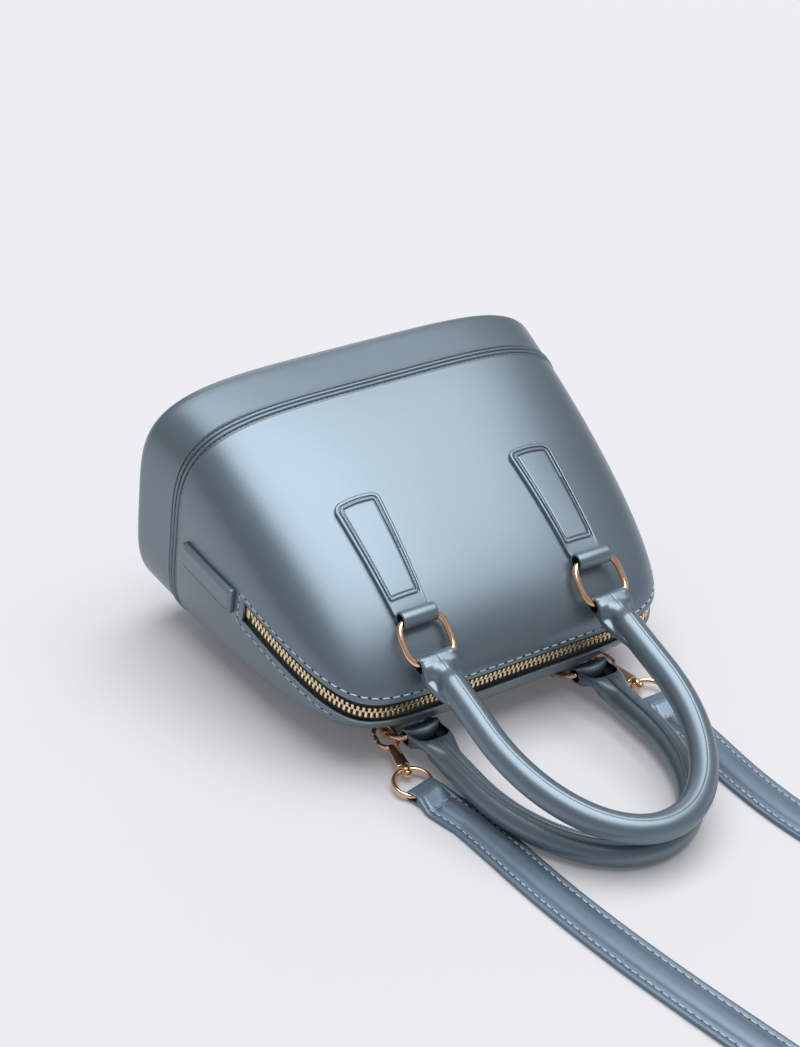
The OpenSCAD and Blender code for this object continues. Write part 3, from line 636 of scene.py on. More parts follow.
def refine(node: str, finish: bpy.types.Material, body: str, edge_mm: float) -> None:
    """Copies a metal part of the frame and rounds its edges, as polishing does.

    Args:
        node: the part; its copy stands for it.
        finish: its material.
        body: the body it moves with.
        edge_mm: the width of the rounded edges.
    """
    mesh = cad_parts[node].data.copy()
    shape = bmesh.new()
    shape.from_mesh(mesh)
    bmesh.ops.remove_doubles(shape, verts=shape.verts, dist=0.001 * MM)
    bmesh.ops.dissolve_limit(shape, angle_limit=math.radians(1.5), verts=shape.verts, edges=shape.edges)
    shape.to_mesh(mesh)
    shape.free()
    mesh.materials.clear()
    mesh.materials.append(finish)
    piece = show(f"{node}_polished", mesh)
    rounding = piece.modifiers.new("polished_edges", "BEVEL")
    rounding.width, rounding.segments, rounding.limit_method = edge_mm * MM, 3, "ANGLE"
    rounding.angle_limit, rounding.harden_normals = math.radians(35), False
    settle(piece, body, (node,))


@dataclass(frozen=True)
class BagForm:
    """The outside of the bag as two superellipses: its plan at each height and its outline.

    Sizes are in millimetres. A curve is the power of the height's share and a square the power of
    the width or the depth; plan_base and plan_top are the powers of the plan at both ends. The lay
    values put the bag on its back on the floor, tilted by tilt_deg.
    """

    base_w: float = 230.0
    seam_w: float = 217.6
    base_d: float = 132.0
    bag_h: float = 178.0
    seam_z: float = 35.0
    lip_d: float = 11.2
    base_r: float = 8.0
    lean_base: float = 3.4
    side_curve: float = 1.17
    side_square: float = 10.6
    depth_curve: float = 1.18
    depth_square: float = 2.08
    plan_base: float = 4.4
    plan_top: float = 2.63
    slot_z: float = 97.0
    slot_shift: float = 5.5
    zip_depth: float = 3.0
    crowding: float = 1.6
    tilt_deg: float = 13.0765
    lay_y: float = 140.486
    lay_z: float = 74.2725

    def rise(self, z: Array) -> Array:
        """Share of the way from the seam to the top."""
        return np.clip((z - self.seam_z) / (self.bag_h - self.seam_z), 0, 1)

    def half_w(self, z: Array) -> Array:
        """Half the width: straight in the tub, then a superellipse to the top."""
        tub = (self.base_w + (self.seam_w - self.base_w) * z / self.seam_z) / 2
        dome = self.seam_w / 2 * (1 - self.rise(z) ** self.side_curve) ** (1 / self.side_square)
        return np.where(z < self.seam_z, tub, dome)

    def half_d(self, z: Array) -> Array:
        """Half the depth: even in the tub, then a superellipse down to the lips."""
        share = (1 - self.rise(z) ** self.depth_curve) ** (1 / self.depth_square)
        return self.lip_d / 2 + (self.base_d - self.lip_d) / 2 * share

    def lean(self, z: Array) -> Array:
        """How far the middle of the plan stands to the front of the top's."""
        return self.lean_base * (1 - z / self.bag_h)

    def square(self, z: Array) -> Array:
        """The power of the plan's superellipse."""
        return self.plan_base + (self.plan_top - self.plan_base) * self.rise(z)

    def edge_in(self, z: Array) -> Array:
        """How far the round edge of the base draws the plan in."""
        low = np.clip(self.base_r - z, 0, self.base_r)
        return self.base_r - np.sqrt(self.base_r**2 - low**2)

    def plan(self, z: Array) -> tuple[Array, Array, Array]:
        """Half width, half depth and power of the plan at a height."""
        return self.half_w(z) - self.edge_in(z), self.half_d(z) - self.edge_in(z), self.square(z)

    def surf_y(self, x: Array, z: Array) -> Array:
        """Depth of the outside off the leaning middle, at a distance across."""
        a, b, n = self.plan(z)
        return b * np.maximum(0, 1 - (np.abs(x) / a) ** n) ** (1 / n)

    def surf_x(self, y: Array, z: Array) -> Array:
        """Distance out to the gusset, at a depth off the leaning middle."""
        a, b, n = self.plan(z)
        return a * np.maximum(0, 1 - (np.abs(y) / b) ** n) ** (1 / n)

    def slot_y(self, z: Array) -> Array:
        """Depth of the zip's middle line at a height."""
        return self.lean(z) + self.slot_shift * (self.bag_h - z) / (self.bag_h - self.slot_z)

    def inside(self, p: Array) -> Array:
        """Less than 1 inside the bag: the plan's two powers, summed."""
        z = np.clip(p[..., 2], 0.02, self.bag_h - 0.004)
        a, b, n = self.plan(z)
        return (np.abs(p[..., 0]) / a) ** n + (np.abs(p[..., 1] - self.lean(z)) / b) ** n

    def normal(self, p: Array) -> Array:
        """Outward direction at points of the outside: the steepest rise of inside."""
        h = 0.01
        q = p.copy()
        q[..., 2] = np.clip(q[..., 2], 0.05, self.bag_h - 0.03)
        return unit(np.stack([self.inside(q + s) - self.inside(q - s) for s in h * np.eye(3)], axis=-1))

    def height_at(self, share: Array) -> Array:
        """Height at which the panels' depth over the lips is this share of the whole."""
        rise = (1 - share**self.depth_square) ** (1 / self.depth_curve)
        return self.seam_z + (self.bag_h - self.seam_z) * rise

    def share_at(self, z: float) -> float:
        """The share that height_at turns into this height."""
        return float((1 - self.rise(np.array(z)) ** self.depth_curve) ** (1 / self.depth_square))

    def lip_share(self, off: float) -> float:
        """The share at which a lip that stands off the zip's middle has its top."""
        return (off - self.lip_d / 2) / ((self.base_d - self.lip_d) / 2)

    def panel_heights(self, off: float, low: float, count: int) -> Array:
        """Heights from low up to the top of a lip, close together near the top."""
        s = np.linspace(1, 0, count) ** self.crowding
        top = self.lip_share(off)
        return self.height_at(top + (self.share_at(low) - top) * s)

    def lip_line(self, side: Side, off: float, low: float, count: int = 60) -> Array:
        """The line on one panel that keeps a distance off the zip, from the right end to the left.

        Args:
            side: the panel.
            off: the distance off the zip's middle.
            low: the height at which the line ends on both gussets.
            count: the number of points on each half.

        Returns:
            The points.
        """
        z = self.panel_heights(off, low, count)
        y = self.slot_y(z) + side.value * off
        x = self.surf_x(y - self.lean(z), z)
        x[-1] = 0
        right = np.stack([x, y, z], axis=1)
        return np.concatenate([right, right[-2::-1] * [-1, 1, 1]])

    def around_slot(self, off: float, low: float) -> Array:
        """The closed line round the slot, off its middle by a distance and ending at a height."""
        front, back = self.lip_line(Side.FRONT, off, low), self.lip_line(Side.BACK, off, low)
        ends = []
        for start, stop in ((front[-1], back[0] * [-1, 1, 1]), (back[0], front[0])):
            y = np.linspace(start[1], stop[1], 9)[1:-1]
            z = np.full_like(y, low)
            x = math.copysign(1, start[0]) * self.surf_x(y - self.lean(z), z)
            ends.append(np.stack([x, y, z], axis=1))
        return np.concatenate([front, ends[0], back[::-1], ends[1]])

    def zip_line(self, low: float, count: int = 240) -> tuple[Array, Array]:
        """The zip's middle line from the right gusset over the top to the left, and its inward direction."""
        start = math.asin(float(self.rise(np.array(low))) ** (self.side_curve / 2))
        t = np.linspace(start, math.pi / 2 - 0.01, count)

        def outline(angle: Array) -> Array:
            """The bag's outline as a superellipse of an angle."""
            x = self.seam_w / 2 * np.cos(angle) ** (2 / self.side_square)
            z = self.seam_z + (self.bag_h - self.seam_z) * np.sin(angle) ** (2 / self.side_curve)
            return np.stack([x, 0 * angle, z], axis=1)

        d = outline(t + 0.0087) - outline(t - 0.0087)
        inward = unit(np.stack([-d[:, 2], 0 * t, d[:, 0]], axis=1))
        points = outline(t) + self.zip_depth * inward
        points[:, 1] = self.slot_y(points[:, 2])
        return (np.concatenate([points, points[::-1] * [-1, 1, 1]]),
                np.concatenate([inward, inward[::-1] * [-1, 1, 1]]))

    def to_row(self, p: Array) -> Array:
        """Lays the upright bag on its back and turns millimetres into metres."""
        t = math.radians(self.tilt_deg)
        y = self.lay_y - p[..., 2] * math.cos(t) - p[..., 1] * math.sin(t)
        z = p[..., 1] * math.cos(t) - p[..., 2] * math.sin(t) + self.lay_z
        return np.stack([p[..., 0], y, z], axis=-1) * MM


def on_floor(p: Array) -> Array:
    """Turns millimetres in the row frame into metres."""
    return p * MM


def rounded_frame(low: float, high: float, half: float, radius: float, count: int = 96) -> Array:
    """A rectangle with round corners, as points along its edge by equal angles.

    Args:
        low: its lower end; high is its upper end.
        half: half its width.
        radius: the radius of its corners.
        count: the number of points.

    Returns:
        The points: the distance across, then the distance along.
    """
    r = max(min(radius, half - 0.01, (high - low) / 2 - 0.01), 0.01)
    corners = [(half - r, high - r, 0), (r - half, high - r, 90),
               (r - half, low + r, 180), (half - r, low + r, 270)]
    arcs = [np.stack([x + r * np.cos(a), y + r * np.sin(a)], axis=1)
            for x, y, start in corners for a in [np.radians(np.linspace(start, start + 90, 7))]]
    line = np.concatenate(arcs)
    line = np.concatenate([line, line[:1]])
    reach = lengths(line)
    ends = [*reach[0:28:7], reach[-1]]
    at = np.concatenate([np.linspace(a, b, count // 4, endpoint=False) for a, b in zip(ends[:-1], ends[1:])])
    return np.stack([np.interp(at, reach, line[:, k]) for k in (0, 1)], axis=1)


@dataclass
class Shell:
    """The moulded shell: tub, seam, two panels and the slot between their lips.

    The seam is half its section: distances from its middle line and heights over the shell.
    """

    form: BagForm
    finishes: Finishes
    wall: float = 1.8
    slot_w: float = 12.0
    lip_r: float = 0.5
    gusset_steps: int = 10
    panel_steps: int = 150
    sew_off: float = 3.0
    seam_sew: float = 2.45
    hidden_z: float = 160.0
    slot_stitch: Stitching = Stitching(5.0, 0.76, 0.34, 0.5)
    seam_stitch: Stitching = Stitching(2.9, 0.62, 0.2, 0.3)
    seam_sink: float = 0.2
    seam: tuple[tuple[float, float], ...] = (
        (-4.4, 0.0), (-3.75, 0.02), (-3.5, 0.3), (-3.15, 0.34), (-2.95, 0.02), (-2.8, -0.3), (-2.1, -0.3),
        (-1.95, 0.1), (-1.75, 0.62), (-1.4, 0.8), (-0.85, 0.74), (-0.5, 0.4), (-0.35, -0.35), (0.0, -0.45),
    )

    def ring(self, z: Array) -> Array:
        """Rings of the plan, split where the slot's edges are: gusset, front, gusset, back.

        A point at an angle lies where the superellipse's radius is the inverse of the root of the
        summed powers of the angle's cosine and sine.

        Args:
            z: heights.

        Returns:
            An array of heights, points round the plan and 3.
        """
        off = self.slot_w / 2 + self.lip_r
        a, b, _ = self.form.plan(z)
        splits = []
        for sign in (1, -1):
            y = self.form.slot_y(z) - self.form.lean(z) + sign * off
            y = sign * np.minimum(np.abs(y), b * 0.99999)
            splits.append(np.arctan2(y / b, self.form.surf_x(y, z) / a))
        front, back = splits
        s = np.linspace(0, 1, self.gusset_steps + 1)[:-1]
        w = np.linspace(0, 1, self.panel_steps + 1)[:-1]
        pieces = [back[:, None] + (front - back)[:, None] * s,
                  front[:, None] + (math.pi - 2 * front)[:, None] * w,
                  (math.pi - front)[:, None] + (front - back)[:, None] * s,
                  (math.pi - back)[:, None] + (math.pi + 2 * back)[:, None] * w]
        return self.at_angles(np.concatenate(pieces, axis=1), z)

    def at_angles(self, angle: Array, z: Array) -> Array:
        """Points of the plan at angles, one row for each height."""
        a, b, n = (v[:, None] for v in self.form.plan(z))
        c, s = np.cos(angle), np.sin(angle)
        r = (np.abs(c) ** n + np.abs(s) ** n) ** (-1 / n)
        y = self.form.lean(z)[:, None] + b * r * s
        return np.stack([a * r * c, y, np.broadcast_to(z[:, None], r.shape)], axis=-1)

    def heights(self) -> tuple[Array, Array]:
        """Heights from the base to the slot and the seam's relief at each."""
        seam = list(self.seam) + [(-d, h) for d, h in reversed(self.seam[:-1])]
        reach = seam[-1][0]
        round_edge = self.form.base_r * (1 - np.cos(np.linspace(0, math.pi / 2, 9)))
        tub = np.linspace(self.form.base_r, self.form.seam_z - reach, 7)[1:-1]
        upper = np.linspace(self.form.seam_z + reach, self.form.slot_z, 26)[1:]
        z = np.concatenate([round_edge, tub, [self.form.seam_z + d for d, _ in seam], upper])
        relief = np.concatenate([0 * round_edge, 0 * tub, [h for _, h in seam], 0 * upper])
        return z, relief

    def build(self) -> None:
        """Builds the skin, its inside, the lips between them, and the stitching on it."""
        form, steps = self.form, self.panel_steps
        z, relief = self.heights()
        low = self.ring(z)
        low_n = form.normal(low)
        low_n[0] = [0, 0, -1]
        high = self.ring(form.panel_heights(self.slot_w / 2 + self.lip_r, form.slot_z, 62))
        fronts = high[:, self.gusset_steps : self.gusset_steps + steps + 1]
        tail = high[:, 2 * self.gusset_steps + steps :]
        backs = np.concatenate([tail, high[:, :1]], axis=1)
        fronts[-1, :, 0] = backs[-1, :, 0] = 0
        surfaces = [grid(low + relief[:, None, None] * low_n, around=True),
                    grid(low - self.wall * low_n, around=True, finish=1, flip=True)]
        floor = low[0]
        shrink = np.linspace(1, 0, 7)[:, None, None]
        disc = floor.mean(axis=0) + (floor - floor.mean(axis=0)) * shrink
        surfaces += [grid(disc, around=True, flip=True),
                     grid(disc + [0, 0, self.wall], around=True, finish=1)]
        for panel in (fronts, backs):
            normals = form.normal(panel)
            surfaces += [grid(panel), grid(panel - self.wall * normals, finish=1, flip=True)]
        surfaces.append(self.lips(fronts, backs, low[-1]))
        build("shell_skin", surfaces, [self.finishes.pearl, self.finishes.lining], "bag",
              form.to_row, ("shell",), weld=True, sharp_deg=60)
        self.sew()

    def lips(self, fronts: Array, backs: Array, level: Array) -> Surface:
        """The rounded edge of the slot, from the outside over the wall to the inside.

        Args:
            fronts: the front panel's rows from the slot's foot to its top; backs are the back's.
            level: the ring at the slot's foot.

        Returns:
            A strip with seven rows of points round the slot.
        """
        g, steps = self.gusset_steps, self.panel_steps
        right_end = level[: g + 1][::-1]
        left_end = level[g + steps : 2 * g + steps + 1]
        parts = [(fronts[:, 0], [0, -1, 0]), (fronts[::-1, -1][1:-1], [0, -1, 0]),
                 (left_end[:-1], [0, 0, 1]), (backs[:, 0], [0, 1, 0]),
                 (backs[::-1, -1][1:-1], [0, 1, 0]), (right_end[::-1][:-1], [0, 0, 1])]
        edge = np.concatenate([p for p, _ in parts])
        toward = np.concatenate([np.tile(v, (len(p), 1)) for p, v in parts])
        normal = self.form.normal(edge)
        into = unit(np.cross(normal, directions(edge, closed=True)))
        into *= np.sign(np.einsum("ij,ij->i", into, toward))[:, None]
        a = np.radians([0, 30, 60, 90])
        rows = [edge + self.lip_r * (into * math.sin(x) - normal * (1 - math.cos(x))) for x in a]
        rows += [edge - normal * (self.wall - self.lip_r) + into * self.lip_r,
                 edge - normal * (self.wall - 0.13) + into * self.lip_r * 0.7, edge - normal * self.wall]
        return grid(np.stack(rows), around=True, flip=True)

    def sew(self) -> None:
        """Sews round the slot but for its hidden lip, and along both edges of the seam."""
        form = self.form
        line = form.around_slot(self.slot_w / 2 + self.sew_off, form.slot_z - self.sew_off)
        hidden = (line[:, 1] < form.slot_y(line[:, 2])) & (line[:, 2] > self.hidden_z)
        start = np.argmax(hidden)
        line = np.concatenate([line[start + hidden.sum():], line[:start]])
        rows = self.slot_stitch.sew(line, form.normal(line))
        for sign in (-1, 1):
            z = np.array([form.seam_z + sign * self.seam_sew])
            ring = self.at_angles(np.linspace(0, 2 * math.pi, 480, endpoint=False)[None], z)[0]
            normals = form.normal(ring)
            rows += self.seam_stitch.sew(ring - self.seam_sink * normals, normals, closed=True, thread=2)
        build("shell_stitching", rows, [self.finishes.thread, self.finishes.hole, self.finishes.pearl], "bag",
              form.to_row)


@dataclass
class Plate:
    """A moulded plate on the shell with a raised rim and, on a tab, a stitched frame inside it.

    Each rim is a rounded frame: its margin, lower end, upper end, corner radius and height.
    """

    rims: tuple[tuple[float, float, float, float, float], ...]
    sew_at: tuple[float, ...] = ()
    sewing: Stitching = Stitching(3.2, 0.55, 0.17, 0.2)

    def shape(self, lay: Callable[[Array, Array, Array], Array], half: float) -> list[Surface]:
        """Stacks rounded frames, each drawn further in than the last, round a level middle.

        The middle is a grid with as many steps on each side as a frame has, so that its edge joins
        the last frame point by point.

        Args:
            lay: puts a distance across, a distance along and a height onto the bag.
            half: half the plate's width.

        Returns:
            The plate.
        """
        rings = []
        for margin, low, high, radius, height in self.rims:
            line = rounded_frame(low, high, half - margin, radius)
            rings.append(lay(line[:, 0], line[:, 1], np.full(len(line), height)))
        margin, low, high, _, height = self.rims[-1]
        n = len(rings[0]) // 4
        x, z = np.meshgrid(np.linspace(half - margin - 0.1, margin + 0.1 - half, n + 1),
                           np.linspace(high - 0.1, low + 0.1, n + 1))
        middle = lay(x, z, np.full(x.shape, height))
        rings.append(np.concatenate([middle[0, :-1], middle[:-1, -1], middle[-1, :0:-1], middle[:0:-1, 0]]))
        skin, count = closed_sweep(np.stack(rings)), len(rings) * n * 4
        flip = skin.faces[0][0, 1] != 1
        patch = grid(middle, flip=bool(flip))
        faces = skin.faces[:2] + [patch.faces[0] + count + 2]
        return [Surface(np.concatenate([skin.points, patch.points]), faces)]

    def sew(self, lay: Callable[[Array, Array, Array], Array], half: float,
            up: Callable[[Array], Array]) -> list[Surface]:
        """Sews round the plate's inner frame."""
        margin, low, high, radius, height = self.sew_at
        line = rounded_frame(low, high, half - margin, radius, 160)
        points = lay(line[:, 0], line[:, 1], np.full(len(line), height))
        return self.sewing.sew(points, up(points), closed=True, hole=2)


@dataclass
class Tab:
    """A tab on a panel: the plate, and the loop at its end that holds a ring."""

    form: BagForm
    finishes: Finishes
    side: Side
    hand: Hand
    tab_x: float = 48.2
    low_z: float = 93.5
    loop_z: float = 157.0
    low_w: float = 24.8
    loop_w: float = 17.8
    arch: float = 1.6
    thick: float = 2.0
    loop_r: float = 4.4
    bore_r: float = 3.3
    loop_sink: float = 0.9

    def loop_y(self) -> float:
        """Depth of the loop's axis."""
        surface = self.form.surf_y(np.array(self.tab_x - self.loop_w / 2), np.array(self.loop_z))
        off = surface + self.thick + self.loop_r - self.loop_sink
        return float(self.form.lean(self.loop_z) + self.side.value * off)

    def lay(self, u: Array, v: Array, height: Array) -> Array:
        """Puts the tab's own coordinates onto the panel.

        Its width narrows towards the loop, its lower end is arched, and its upper end is lifted off
        the falling panel until it lies level.

        Args:
            u: distances across; v are distances up the bag.
            height: the height over the panel; what lies at the foot isn't lifted.

        Returns:
            Points of the upright bag.
        """
        s = np.clip((v - self.low_z) / (self.loop_z - self.low_z), 0, 1)
        half = (self.low_w + (self.loop_w - self.low_w) * s) / 2 - 0.3
        q = u / (self.low_w / 2)
        x = self.hand.value * (self.tab_x + q * half)
        z = v + self.arch * (1 - s) * q * q
        base = np.stack([x, self.form.lean(z) + self.side.value * self.form.surf_y(x, z), z], axis=-1)
        lift = np.maximum(0, self.form.surf_y(self.tab_x - half, z) - self.form.surf_y(x, z)) * s * s
        base[..., 1] += self.side.value * lift * (height > 0.5)
        return base + self.form.normal(base) * height[..., None]

    def loop(self) -> Surface:
        """The loop: a round barrel with a web to the plate, its ends softened by drawing them in."""
        angle = np.radians(np.linspace(-172, 118, 44))
        r = self.loop_r
        contour = np.stack([r * np.cos(angle), r * np.sin(angle)], axis=1)
        web = np.array([[-5.4, -2.6], [-6.6, -3.2], [-6.6, -4.3], [-5.6, -4.45], [-4.1, -4.3], [-2.9, -3.75]])
        contour = np.concatenate([contour[::-1] * [1, -1], web])
        ends = [(1, 0.9), (0.985, 0.955), (0.95, 0.99), (0.9, 1)]
        rings = []
        for share, keep in [(-x, k) for x, k in ends] + ends[::-1]:
            y = self.loop_y() + self.side.value * contour[:, 1] * keep
            x = self.hand.value * (self.tab_x + share * self.loop_w / 2) + 0 * y
            rings.append(np.stack([x, y, self.loop_z + contour[:, 0] * keep], axis=1))
        return closed_sweep(np.stack(rings))

    def build(self) -> None:
        """Builds the plate with its loop, drills the loop and sews the frame."""
        low, high, end = self.low_z, self.loop_z - 4.5, self.loop_z - 13.0
        plate = Plate(
            rims=((0.0, low, high, 3.4, 0.15), (0.0, low, high, 3.4, 1.3),
                  (0.12, low + 0.12, high, 3.3, 1.75), (0.5, low + 0.5, high, 3.0, 2.08),
                  (1.1, low + 1.1, high - 0.4, 2.6, 2.14),
                  (1.55, low + 1.7, end + 1.8, 2.2, 2.0), (1.75, low + 2.0, end + 1.5, 1.9, 1.25),
                  (2.15, low + 2.4, end + 1.1, 1.6, 1.2), (2.35, low + 2.65, end + 0.9, 1.4, 1.9),
                  (2.6, low + 2.95, end + 0.6, 1.2, 2.08), (3.3, low + 3.6, end, 0.8, 2.08),
                  (3.6, low + 3.9, end - 0.3, 0.6, 1.85), (3.75, low + 4.05, end - 0.45, 0.5, 1.2),
                  (4.1, low + 4.4, end - 0.8, 0.4, 1.2), (4.3, low + 4.6, end - 1.0, 0.3, 1.6),
                  (4.8, low + 5.1, end - 1.5, 0.3, 1.75)),
            sew_at=(2.95, low + 3.3, end + 0.3, 0.9, 2.05))
        half = self.low_w / 2
        surfaces = plate.shape(self.lay, half) + plate.sew(self.lay, half, self.form.normal)
        name = f"{self.side.word}_tab_{self.hand.word}"
        finishes = [self.finishes.pearl, self.finishes.thread, self.finishes.hole, self.finishes.lining]
        build(f"{name}_plate", surfaces, finishes, "bag", self.form.to_row, (name,),
              weld=True)
        loop = build(f"{name}_loop", [self.loop()], finishes, "bag", self.form.to_row)
        carve(loop, [self.bore()], self.form.to_row)

    def bore(self) -> Surface:
        """The drill that opens the loop for the ring's wire; its walls take the dark inside finish, which is
        painted shade.
        """
        a = full_turn(7.5)
        y, z = self.loop_y() + self.bore_r * np.cos(a), self.loop_z + self.bore_r * np.sin(a)
        ends = [self.hand.value * self.tab_x + side * self.low_w for side in (-1, 1)]
        return closed_sweep(np.stack([np.stack([x + 0 * y, y, z], axis=1) for x in ends]), 3)


@dataclass
class ZipFlap:
    """The moulded flap on a gusset under the end of the zip, its middle bare."""

    form: BagForm
    finishes: Finishes
    hand: Hand
    low_z: float = 46.0
    top_z: float = 90.5
    width: float = 15.0
    low_shift: float = 0.5
    slot_shift: float = 5.5

    def lay(self, u: Array, v: Array, height: Array) -> Array:
        """Puts the flap's own coordinates onto the gusset, along the slanting line of the zip."""
        share = (v - self.low_z) / (self.form.slot_z - self.low_z)
        y = self.form.lean(v) + self.low_shift + (self.slot_shift + self.low_shift) * share + u
        base = np.stack([self.hand.value * self.form.surf_x(y - self.form.lean(v), v), y, v], axis=-1)
        return base + self.form.normal(base) * height[..., None]

    def build(self) -> None:
        """Builds the flap: each rim is drawn in by its margin on all four sides."""
        rims = [(0.0, 1.6, 0.2), (0.0, 1.6, 1.5), (0.15, 1.4, 2.1), (0.5, 1.0, 2.4), (1.6, 0.8, 2.45),
                (1.8, 0.6, 2.25), (1.95, 0.5, 2.25), (2.15, 0.4, 2.45)]
        plate = Plate(tuple((margin, self.low_z + margin, self.top_z - margin, radius, height)
                            for margin, radius, height in rims))
        node = f"zip_flap_{self.hand.word}"
        build(f"{node}_plate", plate.shape(self.lay, self.width / 2),
              [self.finishes.pearl, self.finishes.thread, self.finishes.hole], "bag",
              self.form.to_row, (node,), weld=True)


@dataclass
class Zip:
    """The zip over the top: two tapes, two rows of teeth, its stops, slider and pull.

    The foot and the head of a tooth have half their sizes along the zip, across it and into it.
    """

    form: BagForm
    finishes: Finishes
    pitch: float = 2.5
    foot_y: float = 2.0
    foot: tuple[float, ...] = (0.76, 1.2, 1.4)
    head_y: float = 0.6
    head: tuple[float, ...] = (0.8, 1.0, 1.15)
    tape_reach: float = 9.5
    tape_t: float = 0.6
    wall: float = 1.8
    clear: float = 0.3
    tape_low: float = 94.0
    teeth_low: float = 101.1

    def dip(self, points: Array, inward: Array, y: float) -> Array:
        """How much deeper the tape lies off the middle by y, to pass under the wall.

        The depth at which the inside of the wall begins is found by halving.
        """
        low, high = np.ones(len(points)), np.full(len(points), 12.0)
        for _ in range(14):
            middle = (low + high) / 2
            p = points + inward * (middle - self.form.zip_depth)[:, None]
            z = np.minimum(p[:, 2] + self.wall, self.form.bag_h - 0.01)
            a, b, n = self.form.plan(z)
            across, deep = np.maximum(a - self.wall, 0.1), np.maximum(b - self.wall, 0.1)
            off = points[:, 1] + y - self.form.lean(p[:, 2])
            hollow = (np.abs(p[:, 0]) / across) ** n + (np.abs(off) / deep) ** n < 1
            hollow &= p[:, 2] + self.wall < self.form.bag_h
            low, high = np.where(hollow, low, middle), np.where(hollow, middle, high)
        return np.maximum(0, high + self.tape_t / 2 + self.clear - self.form.zip_depth)

    def tape(self, side: Side) -> Surface:
        """One woven tape: a flat strip from the teeth to under the wall, with a corded inner edge.

        Each station is a distance off the zip's middle, the share of the dip under the wall that it
        takes and its thickness.

        Args:
            side: the front or the back tape.

        Returns:
            The tape.
        """
        line, inward = self.form.zip_line(self.tape_low, 160)
        flat = self.tape_t
        stations = [(1.0, 0.0, 0.5), (1.5, 0.0, 1.1), (2.1, 0.0, 1.1), (2.6, 0.0, flat), (4.0, 0.0, flat),
                    (5.4, 1.0, flat), (6.6, 1.0, flat), (8.0, 1.0, flat), (self.tape_reach, 1.0, flat)]
        top, under = [], []
        for y, follow, thick in stations:
            dip = self.dip(line, inward, side.value * y) * follow
            for rows, sign in ((top, -1), (under, 1)):
                p = line + inward * (dip + sign * thick / 2)[:, None]
                p[:, 1] = line[:, 1] + side.value * y
                rows.append(p)
        return closed_sweep(np.stack(top + under[::-1], axis=1))

    def tooth(self) -> Surface:
        """One tooth: a rounded foot that clamps the tape and a rounded head that meets the other row."""
        u, v = np.meshgrid(np.radians([-90, -50, -18, 18, 50, 90]), full_turn(45), indexing="ij")

        def block(off: float, half: tuple[float, ...], power: float) -> Array:
            """A superellipsoid: powers of sines and cosines, scaled to half its sizes."""
            level, up, x, y = (bent(f(a), power) for a in (u, v) for f in (np.cos, np.sin))
            return np.stack([half[0] * level * x, half[1] * level * y, half[2] * up], axis=-1) + [0, off, 0]

        foot = closed_sweep(block(self.foot_y, self.foot, 0.4))
        head = closed_sweep(block(self.head_y, self.head, 0.5))
        faces = foot.faces + [face + len(foot.points) for face in head.faces]
        return Surface(np.concatenate([foot.points, head.points]), faces)

    def teeth(self, side: Side) -> Surface:
        """One row of teeth along the zip, half a pitch away from the other row."""
        line, inward = self.form.zip_line(self.teeth_low, 400)
        points, deep = along(line, step=self.pitch / 2, extra=inward)
        start = 1 if side is Side.FRONT else 2
        forward, deep = directions(points)[start:-1:2], unit(deep)[start:-1:2]
        origin = points[start:-1:2]
        across = np.tile([0.0, side.value, 0.0], (len(origin), 1))
        copies = repeated(self.tooth(), origin, forward, across, -deep)
        if side is Side.BACK:
            copies.faces = [face[:, ::-1] for face in copies.faces]
        return copies

    def build(self) -> None:
        """Builds the tapes and the teeth, and finishes the stops, the slider and the pull."""
        for side in Side:
            name = side.word
            build(f"zip_tape_{name}_weave", [self.tape(side)], [self.finishes.tape], "bag",
                  self.form.to_row, (f"zip_tape_{name}",))
            build(f"zip_teeth_{name}_row", [self.teeth(side)], [self.finishes.teeth], "bag",
                  self.form.to_row, (f"zip_teeth_{name}",))
        for hand in Hand:
            refine(f"zip_stop_{hand.word}", self.finishes.teeth, "bag", 0.35)
        refine("zip_slider", self.finishes.gold, "zip_slider", 0.22)
        refine("zip_pull", self.finishes.gold, "zip_pull", 0.3)


@dataclass(frozen=True)
class Swing:
    """A plane that leans away from one side of the bag: x across, y along it, z to the bag or from it."""

    side: Side
    y: float
    z: float
    angle: float

    def place(self, form: BagForm) -> Callable[[Array], Array]:
        """Gives the function that puts points of the plane into the row frame."""
        a = math.radians(self.angle)

        def put(p: Array) -> Array:
            """Turns the plane's points into the bag's, and lays them down."""
            y = self.y + p[..., 1] * self.side.value * math.sin(a) - p[..., 2] * math.cos(a)
            z = self.z + p[..., 1] * math.cos(a) + p[..., 2] * self.side.value * math.sin(a)
            return form.to_row(np.stack([p[..., 0], y, z], axis=-1))

        return put


